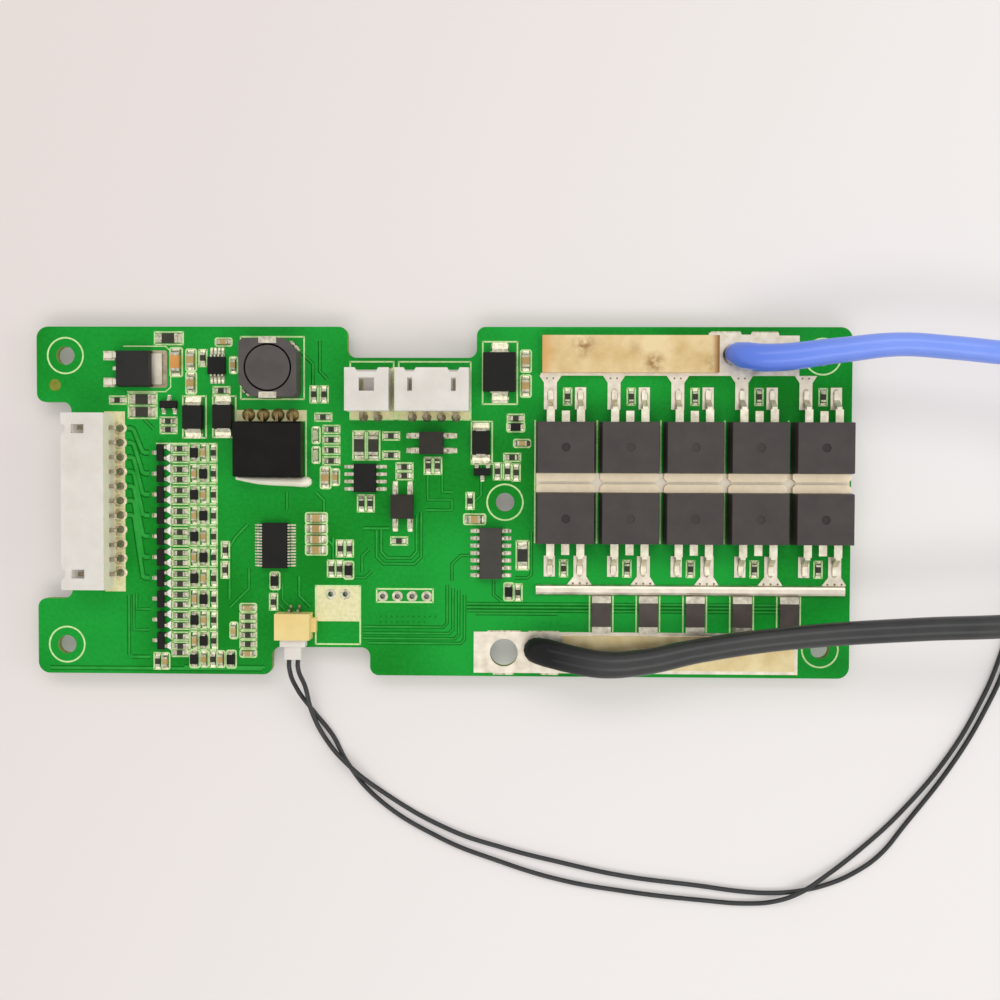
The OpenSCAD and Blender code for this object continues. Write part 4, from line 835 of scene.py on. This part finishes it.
# gull legs stand in solder: a flat pad and a toe fillet for each; side, toe and climb in mm
legSettings = {
    "small_legs": {"side": 0.1, "toe": 0.35, "climb": 0.2, "bodies": ("transistors", "clamp_diodes")},
    "optocoupler_legs": {"side": 0.25, "toe": 0.75, "climb": 0.25, "bodies": ("optocouplers",)},
    "logic_chip_legs": {"side": 0.12, "toe": 0.5, "climb": 0.2, "bodies": ("logic_chip",)},
    "monitor_chip_legs": {"side": 0.03, "toe": 0.35, "climb": 0.15, "bodies": ("monitor_chip",)},
    "small_chip_legs": {"side": 0.1, "toe": 0.65, "climb": 0.2, "bodies": ("small_chips",)},
}
padUnderToe = 0.6   # share of the toe that the pad reaches
toes, padPlates = [], []
for name, settings in legSettings.items():
    bodies = [(low + high) / 2 for body in settings["bodies"] for low, high in solidBoxes(body)]
    for low, high in solidBoxes(name):
        middle, size = (low + high) / 2, high - low
        body = min(bodies, key=lambda b: (b - middle).length)
        axis = 0 if size.x > size.y else 1   # the leg runs along this axis, away from its body
        end, turn = (high, 0) if middle[axis] > body[axis] else (low, math.pi)
        foot = middle.copy()
        foot[axis] = end[axis]
        if axis == 1:
            turn = math.pi / 2 - turn
        wide = size[1 - axis] + 2 * settings["side"] * mm
        scale = (settings["toe"] * mm, wide, settings["climb"] * mm)
        toes.append(copyAt(wedge, foot.x, foot.y, boardTop, turn, scale))
        growX, growY = settings["toe"] * padUnderToe, settings["side"]
        if axis == 1:
            growX, growY = growY, growX
        padPlates.append((low.x / mm - growX, low.y / mm - growY, high.x / mm + growX, high.y / mm + growY))

# diodes and the regulator sit on wide tinned pads with a slope of solder up to each strap
apronSettings = [   # end of the strap in mm, way the solder runs, reach, width, climb
    (10.05, 25.7, 1, 1.6, 3.15, 0.7), (10.05, 18.7, -1, 1.7, 3.15, 0.7),
    (-42.75, 16.55, 1, 1.45, 3.2, 0.7), (-42.75, 12.25, -1, 1.45, 3.2, 0.7),
    (-37.6, 16.65, 1, 1.45, 3.2, 0.7), (-37.6, 12.35, -1, 1.45, 3.2, 0.7),
    (6.88, 12.3, 1, 1.3, 3.2, 0.6), (6.88, 8.1, -1, 1.4, 3.5, 0.6),
]
for x, y, way, reach, width, climb in apronSettings:
    scale = (reach * mm, width * mm, climb * mm)
    toes.append(copyAt(wedge, x * mm, y * mm, boardTop, way * math.pi / 2, scale))
bpy.data.objects.remove(wedge)
regulatorSettings = {
    "feet": [(-58.4, 24.2, -56.4, 25.8), (-58.4, 19.6, -56.4, 21.2)],
    "pad": [(-50.5, 19.5, -47.3, 25.9)],
}
padPlates += regulatorSettings["feet"]
dullSolder = tinned("dullPadSolder", ["#8d7f6a", "#b0a38c"], flow=0.0012, rough=(0.4, 0.55))
layRectangles("regulatorPad", dullSolder, regulatorSettings["pad"], boardTop, 0.00005, 0.0004)
# the outer legs of the balance transistors have longer pads, in mm
outerPads = {"legsBefore": -49.4, "front": -26, "back": 10, "left": -50.4, "right": -49.3, "side": 0.35}
for low, high in solidBoxes("small_legs"):
    if high.x < outerPads["legsBefore"] * mm and outerPads["front"] * mm < low.y < outerPads["back"] * mm:
        front, back = low.y / mm - outerPads["side"], high.y / mm + outerPads["side"]
        padPlates.append((outerPads["left"], front, outerPads["right"], back))

# heaps round the feet of the power transistors: warm, half dull solder
footSolder = tinned("footSolder", ["#b5a994", "#dcd2bf"], flow=0.0012, rough=(0.35, 0.5), bump=0.3)
heapSettings = {
    "scale": (0.62 * mm, 1.4 * mm, 0.3 * mm), "back": 0.95 * mm,
    "widestLeg": 2 * mm, "footLift": 0.2 * mm,   # how a foot is told from the rest of the frame
    "levels": [(0.35, 0.95), (0.75, 0.78), (1.0, 0.5)],
}
heaps = []
for name, way in (("mosfet_frames_upper", 1), ("mosfet_frames_lower", -1)):
    for low, high in solidBoxes(name):
        if high.x - low.x < heapSettings["widestLeg"] and low.z < landTop + heapSettings["footLift"]:
            y = (high.y if way > 0 else low.y) - way * heapSettings["back"]
            heaps.append(((low.x + high.x) / 2, y, landTop, 0, heapSettings["scale"]))
placeCopies("footSolder", moundTemplate(14, heapSettings["levels"]), heaps, footSolder)
finishPiece(joinPieces("toeSolder", toes), padSolder)
layRectangles("legPads", padSolder, padPlates, boardTop, 0.00003, 0.00006)

# the balance transistors' inner legs stand in arrow-shaped pads, heaped with bright solder
bright = tinned("brightReflowedSolder", ["#cfccc0", "#e9e7dd"], flow=0.0009, rough=(0.35, 0.5), bump=0.2)
arrowSettings = {"tip": -48.1, "base": -46.7, "half": 0.92, "heap": 0.2, "fromMiddle": 0.95}
tip, base = arrowSettings["tip"], arrowSettings["base"]
# the template is a triangle of radius 1, so 1.5 long and twice 0.866 wide
scale = ((base - tip) / 1.5 * mm, arrowSettings["half"] / 0.866 * mm, arrowSettings["heap"] * mm)
arrows = []
for middle in channelRows:
    for y in (middle - arrowSettings["fromMiddle"], middle + arrowSettings["fromMiddle"]):
        arrows.append(((tip + 2 * base) / 3 * mm, y * mm, boardTop, 0, scale))
template = moundTemplate(3, [(0.5, 0.96), (1.0, 0.8)], turn=math.pi / 2)
placeCopies("arrowPads", template, arrows, bright)

# joints of the pins that go through the board: flux has browned them, and burned the module's
fluxSolder = tinned("fluxBrownedSolder", ["#bdb28c", "#ece6cb"], flow=0.0007, rough=(0.62, 0.78), bump=0.6)
burntSolder = tinned("fluxBurntSolder", ["#6c5d38", "#a3925f"], flow=0.0007, rough=(0.5, 0.65), bump=0.6)
# below the board every pin's end stands in a cone of clean solder
waveSolder = tinned("waveSolder", ["#b3aea0", "#dcd8cb"], flow=0.0008, bump=0.4)
jointSettings = {
    "above": [(0.15, 0.97), (0.55, 0.8), (0.85, 0.55), (1.0, 0.25)],
    "below": [(0.1, 0.86), (0.3, 0.66), (0.6, 0.52), (1.0, 0.44)],
    "cone": (1.0 * mm, 1.0 * mm, 1.15 * mm), "fromEnd": 0.32 * mm, "fromSide": 0.4 * mm,
    "pins": [   # axis the pins run along and whether they run up it, how far inside their end, size
        ("balance_pins", 0, True, 0.00115, (1.45, 1.1, 0.26)),
        ("two_way_pins", 1, False, 0.00105, (0.72, 0.85, 0.4)),
        ("four_way_pins", 1, False, 0.00105, (0.72, 0.85, 0.4)),
        ("sealed_module_pins", 1, True, 0.00085, (1.15, 1.15, 0.6)),
    ],
}
joints, burntJoints, cones = [], [], []
for name, axis, upwards, inside, size in jointSettings["pins"]:
    for low, high in solidBoxes(name):
        end, way = (high[axis], 1) if upwards else (low[axis], -1)
        place = (low + high) / 2
        place[axis] = end - way * inside
        heap = (place.x, place.y, boardTop, 0, [length * mm for length in size])
        (burntJoints if name == "sealed_module_pins" else joints).append(heap)
        place = low + Vector((jointSettings["fromSide"], jointSettings["fromSide"], 0))
        place[axis] = end - way * jointSettings["fromEnd"]
        cones.append((place.x, place.y, underside, 0, jointSettings["cone"]))
placeCopies("pinJoints", moundTemplate(16, jointSettings["above"]), joints, fluxSolder)
placeCopies("modulePinJoints", moundTemplate(16, jointSettings["above"]), burntJoints, burntSolder)
template = moundTemplate(16, jointSettings["below"])
template.data.transform(Matrix.Rotation(math.pi, 4, "X"))
placeCopies("undersideJoints", template, cones, waveSolder)

# bare ringed holes: a row of four and a pair; they are plated through, so both faces have the ring
holeSettings = {
    "inner": 0.00046, "outer": 0.00092, "thick": 0.00004, "sides": 24,
    "row": [(-10.04, -16.3), (-7.5, -16.3), (-4.96, -16.3), (-2.42, -16.3), (-19.08, -16.0), (-16.54, -16.0)],
}
thick = holeSettings["thick"]
template = ringTemplate(holeSettings["inner"], holeSettings["outer"], thick, boardTop, holeSettings["sides"])
lifts = (0, underside - boardTop - thick)
spots = [(x * mm, y * mm, lift) for x, y in holeSettings["row"] for lift in lifts]
placeCopies("bareHolePads", template, spots, padSolder)

# heaps of solder where the choke's wires are tied down
heapSettings = {
    "levels": [(0.4, 0.95), (0.8, 0.7), (1.0, 0.35)],
    "heaps": [   # place, turn, then length, width and height in mm
        (-25.6, 27.1, -0.6, (0.75, 0.5, 0.7)), (-24.9, 26.3, -0.9, (0.9, 0.55, 0.6)),
        (-34.0, 18.9, -0.7, (0.5, 0.4, 0.5)), (-33.2, 18.3, -0.3, (0.6, 0.45, 0.7)),
    ],
}
heaps = []
for x, y, turn, size in heapSettings["heaps"]:
    heaps.append((x * mm, y * mm, boardTop, turn, [length * mm for length in size]))
placeCopies("chokeSolder", moundTemplate(12, heapSettings["levels"]), heaps, padSolder)
print("legs and pins soldered")


# the lacquer of the board over copper reads lighter and warmer
maskedCopper, tree, shader, place = startMaterial("lacqueredCopper", Roughness=0.4, Specular_IOR_Level=0.1)
addSpread(tree, shader, place, 0.002, ["#239a34", "#34a844"])
# over bare laminate, in the gaps between tracks, it is darker
maskedGap, tree, shader, place = startMaterial("lacqueredLaminate", Roughness=0.4, Specular_IOR_Level=0.12)
addSpread(tree, shader, place, 0.002, ["#0a7a1e", "#0e8424"])


def layTracks(name, material, tracks, height, extra=0):
    # each run is swept as a thin tube of its width in mm, then pressed flat on the board
    runs = [[((x, y, 0), width + extra) for x, y in points] for width, points in tracks]
    piece = meshOf(sweep(name, runs, mm / 2, 1))
    piece.scale.z = height
    piece.location.z = boardTop
    finishPiece(settle(piece), material)


tracks = [   # width, then the corners, in mm
    (0.3, [(-13.5, -21.6), (0.4, -21.6), (1.1, -20.9), (1.1, -14.3)]),
    (0.3, [(-13.5, -22.7), (1.4, -22.7), (2.1, -22.0), (2.1, -14.8)]),
    (0.3, [(-13.5, -23.6), (2.4, -23.6), (3.1, -22.9), (3.1, -15.2)]),
    (0.3, [(-12.5, -24.4), (3.4, -24.4), (4.1, -23.7), (4.1, -16.0)]),
    (0.35, [(-11.1, -4.9), (-11.1, -9.5), (-9.9, -10.7), (-4.6, -10.7), (-3.4, -9.5), (-3.4, -1.8)]),
    (0.35, [(-10.3, -4.5), (-10.3, -8.6), (-9.3, -9.7), (-5.2, -9.7), (-4.2, -8.6), (-4.2, -2.3)]),
    (0.4, [(-13.4, -4.6), (-8.9, -4.6)]),
    (0.35, [(-2.3, 5.5), (-2.3, 0.35), (1.9, 0.35), (1.9, -1.4), (-2.6, -1.4)]),
    (0.35, [(0.2, 6.3), (0.2, 1.7), (1.9, 1.7)]),
    (0.35, [(-54.15, -16.4), (-54.15, -26.8)]),
    (0.35, [(-52.8, -16.0), (-52.8, -18.8), (-50.4, -18.8)]),
    (0.35, [(-53.3, -16.2), (-53.3, -22.4), (-50.7, -22.4)]),
    (0.45, [(-53.6, -27.1), (-50.4, -27.1)]),
    (0.28, [(4.5, -17.5), (61.5, -17.5)]),
    (0.28, [(4.5, -18.1), (61.5, -18.1)]),
    (0.28, [(4.5, -18.7), (61.5, -18.7)]),
    (0.28, [(6, -19.2), (20, -19.2)]),
    (0.3, [(15.55, -5), (15.55, -12.4), (14.9, -13), (12.8, -13)]),
    (0.35, [(-33.4, -4), (-35.5, -6.2), (-36.6, -8), (-36.6, -17)]),
    (0.3, [(-33.2, -11.6), (-33.2, -15.1), (-36.5, -18.4)]),
    (0.35, [(-21.5, 1.5), (-20.2, 0.2), (-20.2, -6), (-18.6, -7.6)]),
    (0.35, [(-24.5, -13), (-24.5, -16.3), (-22.6, -18.2)]),
    (0.5, [(-44.5, -28.8), (-30.5, -28.8)]),
    (0.5, [(-68, -29.1), (-31, -29.1)]),
    (0.3, [(-28.2, -14.2), (-28.2, -17.6), (-26.9, -18.9)]),
    (0.3, [(-29, -14.4), (-29, -16.6)]),
    (0.3, [(-27.4, -14.4), (-27.4, -17.0), (-24.9, -19.5)]),
    (0.3, [(-26.6, 1.6), (-26.6, -1.4)]),
    (0.35, [(-24.2, 25.8), (-22.1, 23.6), (-22.1, 17.2)]),
    (0.35, [(-20.9, 27.6), (-20.9, 22.4), (-19.6, 21.0)]),
    (0.3, [(-18.6, -6.2), (-18.6, -11.4), (-16.9, -13.1), (-13.1, -13.1), (-12.0, -12.0)]),
    (0.3, [(-12.4, -8.2), (-13.6, -9.4), (-13.6, -12.2)]),
    (0.3, [(5.2, -9.2), (3.4, -9.2), (1.9, -10.7), (1.9, -13.6)]),
    (0.3, [(9.1, -13.4), (9.1, -15.9), (10.4, -17.0)]),
    (0.3, [(6.9, 9.2), (6.9, 1.2), (5.4, -0.3), (5.4, -1.9)]),
    (0.35, [(-49.7, 12.4), (-51.3, 14.0), (-51.3, 16.9)]),
    (0.35, [(-53.6, 16.9), (-53.6, 14.2)]),
]
# the balance tracks fan out from the pins to the channels
fanSettings = {"width": 0.8, "firstPin": 12.5, "pinPitch": 2.5, "lowest": -16}
for i, padY in enumerate(channelRows):
    pinY = fanSettings["firstPin"] - i * fanSettings["pinPitch"]
    if padY > fanSettings["lowest"]:
        run = [(-54.3, pinY), (-53.7, pinY), (-53.2, pinY - 0.25)]
        run += [(-51.7, padY + 0.25), (-51.2, padY), (-50.5, padY)]
        tracks.append((fanSettings["width"], run))
trackSettings = {"gap": 0.34, "gapHeight": 0.012, "height": 0.06}   # heights are shares of the width
layTracks("trackGaps", maskedGap, tracks, trackSettings["gapHeight"], trackSettings["gap"])
layTracks("coveredTracks", maskedCopper, tracks, trackSettings["height"])

# covered vias in two rows, and vias filled with solder in the large lands, browner than the land
viaSettings = {
    "high": 0.00001, "levels": [(1.0, 0.7)],
    "covered": {"radius": 0.00022, "first": -10.4, "pitch": 0.95, "rows": [(-19.8, 11), (-20.75, 9)]},
    "filled": [   # from the middle of each column of power transistors, in mm
        {"radius": 0.00019, "y": -13.85, "steps": (1.4, 2.6, 3.8)},
        {"radius": 0.00017, "y": 21.25, "steps": (-3.2, -2.1)},
    ],
}
filledVia = tinned("solderFilledVia", ["#5e5038", "#85765a"], flow=0.0004)
covered, high = viaSettings["covered"], viaSettings["high"]
scale = (covered["radius"], covered["radius"], high)
vias = []
for y, count in covered["rows"]:
    for i in range(count):
        vias.append(((covered["first"] + covered["pitch"] * i) * mm, y * mm, boardTop, 0, scale))
placeCopies("coveredVias", moundTemplate(10, viaSettings["levels"]), vias, maskedGap)
vias = []
for name in mosfets[:5]:
    middle = (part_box(name)[0].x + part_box(name)[1].x) / 2
    for row in viaSettings["filled"]:
        scale = (row["radius"], row["radius"], high)
        vias += [(middle + step * mm, row["y"] * mm, landTop, 0, scale) for step in row["steps"]]
placeCopies("landVias", moundTemplate(10, viaSettings["levels"]), vias, filledVia)

# the lacquer laps over the edges of the large lands
lips = [
    (16.7, 28.45, 45.6, 29.25), (16.7, 22.1, 17.28, 28.9),
    (51.1, 28.7, 52.8, 29.25), (57.5, 28.55, 61.3, 29.25),
]
layRectangles("lacquerLips", solderMask, lips, landTop, 0.00002, 0.00015)
# solder has run past the edges of some lands
spills = [
    (8.0, -22.4, 13.8, -22.08), (15.1, -22.4, 20.4, -22.1), (9.0, -29.72, 12.6, -29.3),
    (17.2, -29.7, 20.3, -29.3), (45.9, 28.9, 51.0, 29.25), (52.9, 28.9, 57.4, 29.2),
]
layRectangles("solderSpills", padSolder, spills, boardTop, 0.00014, 0.00014)
outline = [(-54.9, 26.62), (-47.6, 26.62), (-46.72, 25.8), (-46.72, 19.6), (-47.6, 18.82), (-54.3, 18.82)]
layTracks("regulatorOutline", lineInk, [(0.24, outline)], 0.08)

# a test spot left bare of lacquer: tarnished copper, olive and dull
spotCopper = tinned("tarnishedTestSpot", ["#6d7a2c", "#8b853c"], flow=0.0009, rough=(0.45, 0.6))
template = moundTemplate(24, [(1.0, 0.9)])
spot = (-66.84 * mm, 19.93 * mm, boardTop, 0, (mm, mm, 0.00001))
placeCopies("testSpot", template, [spot], spotCopper)

# a squeezed bead of silicone along the module's foot: thin at its start, full at its end
beadSettings = {
    "points": [   # place and fullness
        (-35.3, 3.95, 0.28), (-33.6, 3.75, 0.45), (-31.4, 3.55, 0.66), (-28.4, 3.45, 0.78),
        (-25.8, 3.4, 0.82), (-23.9, 3.35, 0.9), (-22.9, 3.4, 0.85),
    ],
    "flat": 1.25, "middle": -0.029, "pushes": (0.45, 0.3, 0.12), "shrink": 0.72,
}
run = [((x, y, 0), fullness) for x, y, fullness in beadSettings["points"]]
bead = meshOf(sweep("glueLine", [run], mm, 4, steps=6))
# round both open ends: each last ring is pulled out and drawn in, three times, then closed
bpy.ops.object.mode_set(mode="EDIT")
bpy.ops.mesh.select_mode(type="VERT")
bpy.ops.mesh.select_all(action="DESELECT")
bpy.ops.mesh.select_non_manifold()
for push in beadSettings["pushes"]:
    bpy.ops.mesh.extrude_region_move(TRANSFORM_OT_translate={"value": (0, 0, 0)})
    bpy.ops.object.mode_set(mode="OBJECT")
    rings = [vertex for vertex in bead.data.vertices if vertex.select]
    for side in (-1, 1):
        ring = [vertex for vertex in rings if (vertex.co.x - beadSettings["middle"]) * side > 0]
        middle = sum((vertex.co for vertex in ring), Vector()) / len(ring)
        reach = max((vertex.co - middle).length for vertex in ring)
        for vertex in ring:
            drawn = (vertex.co - middle) * beadSettings["shrink"]
            vertex.co = middle + drawn + Vector((side * reach * push, 0, 0))
    bpy.ops.object.mode_set(mode="EDIT")
bpy.ops.mesh.edge_face_add()
closePlates()
bead.scale.z = beadSettings["flat"]
bead.location.z = boardTop
settle(bead)
bpy.ops.object.shade_smooth()
finishPiece(bead, glue)
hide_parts("glue_bead")
print("tracks and lips laid")
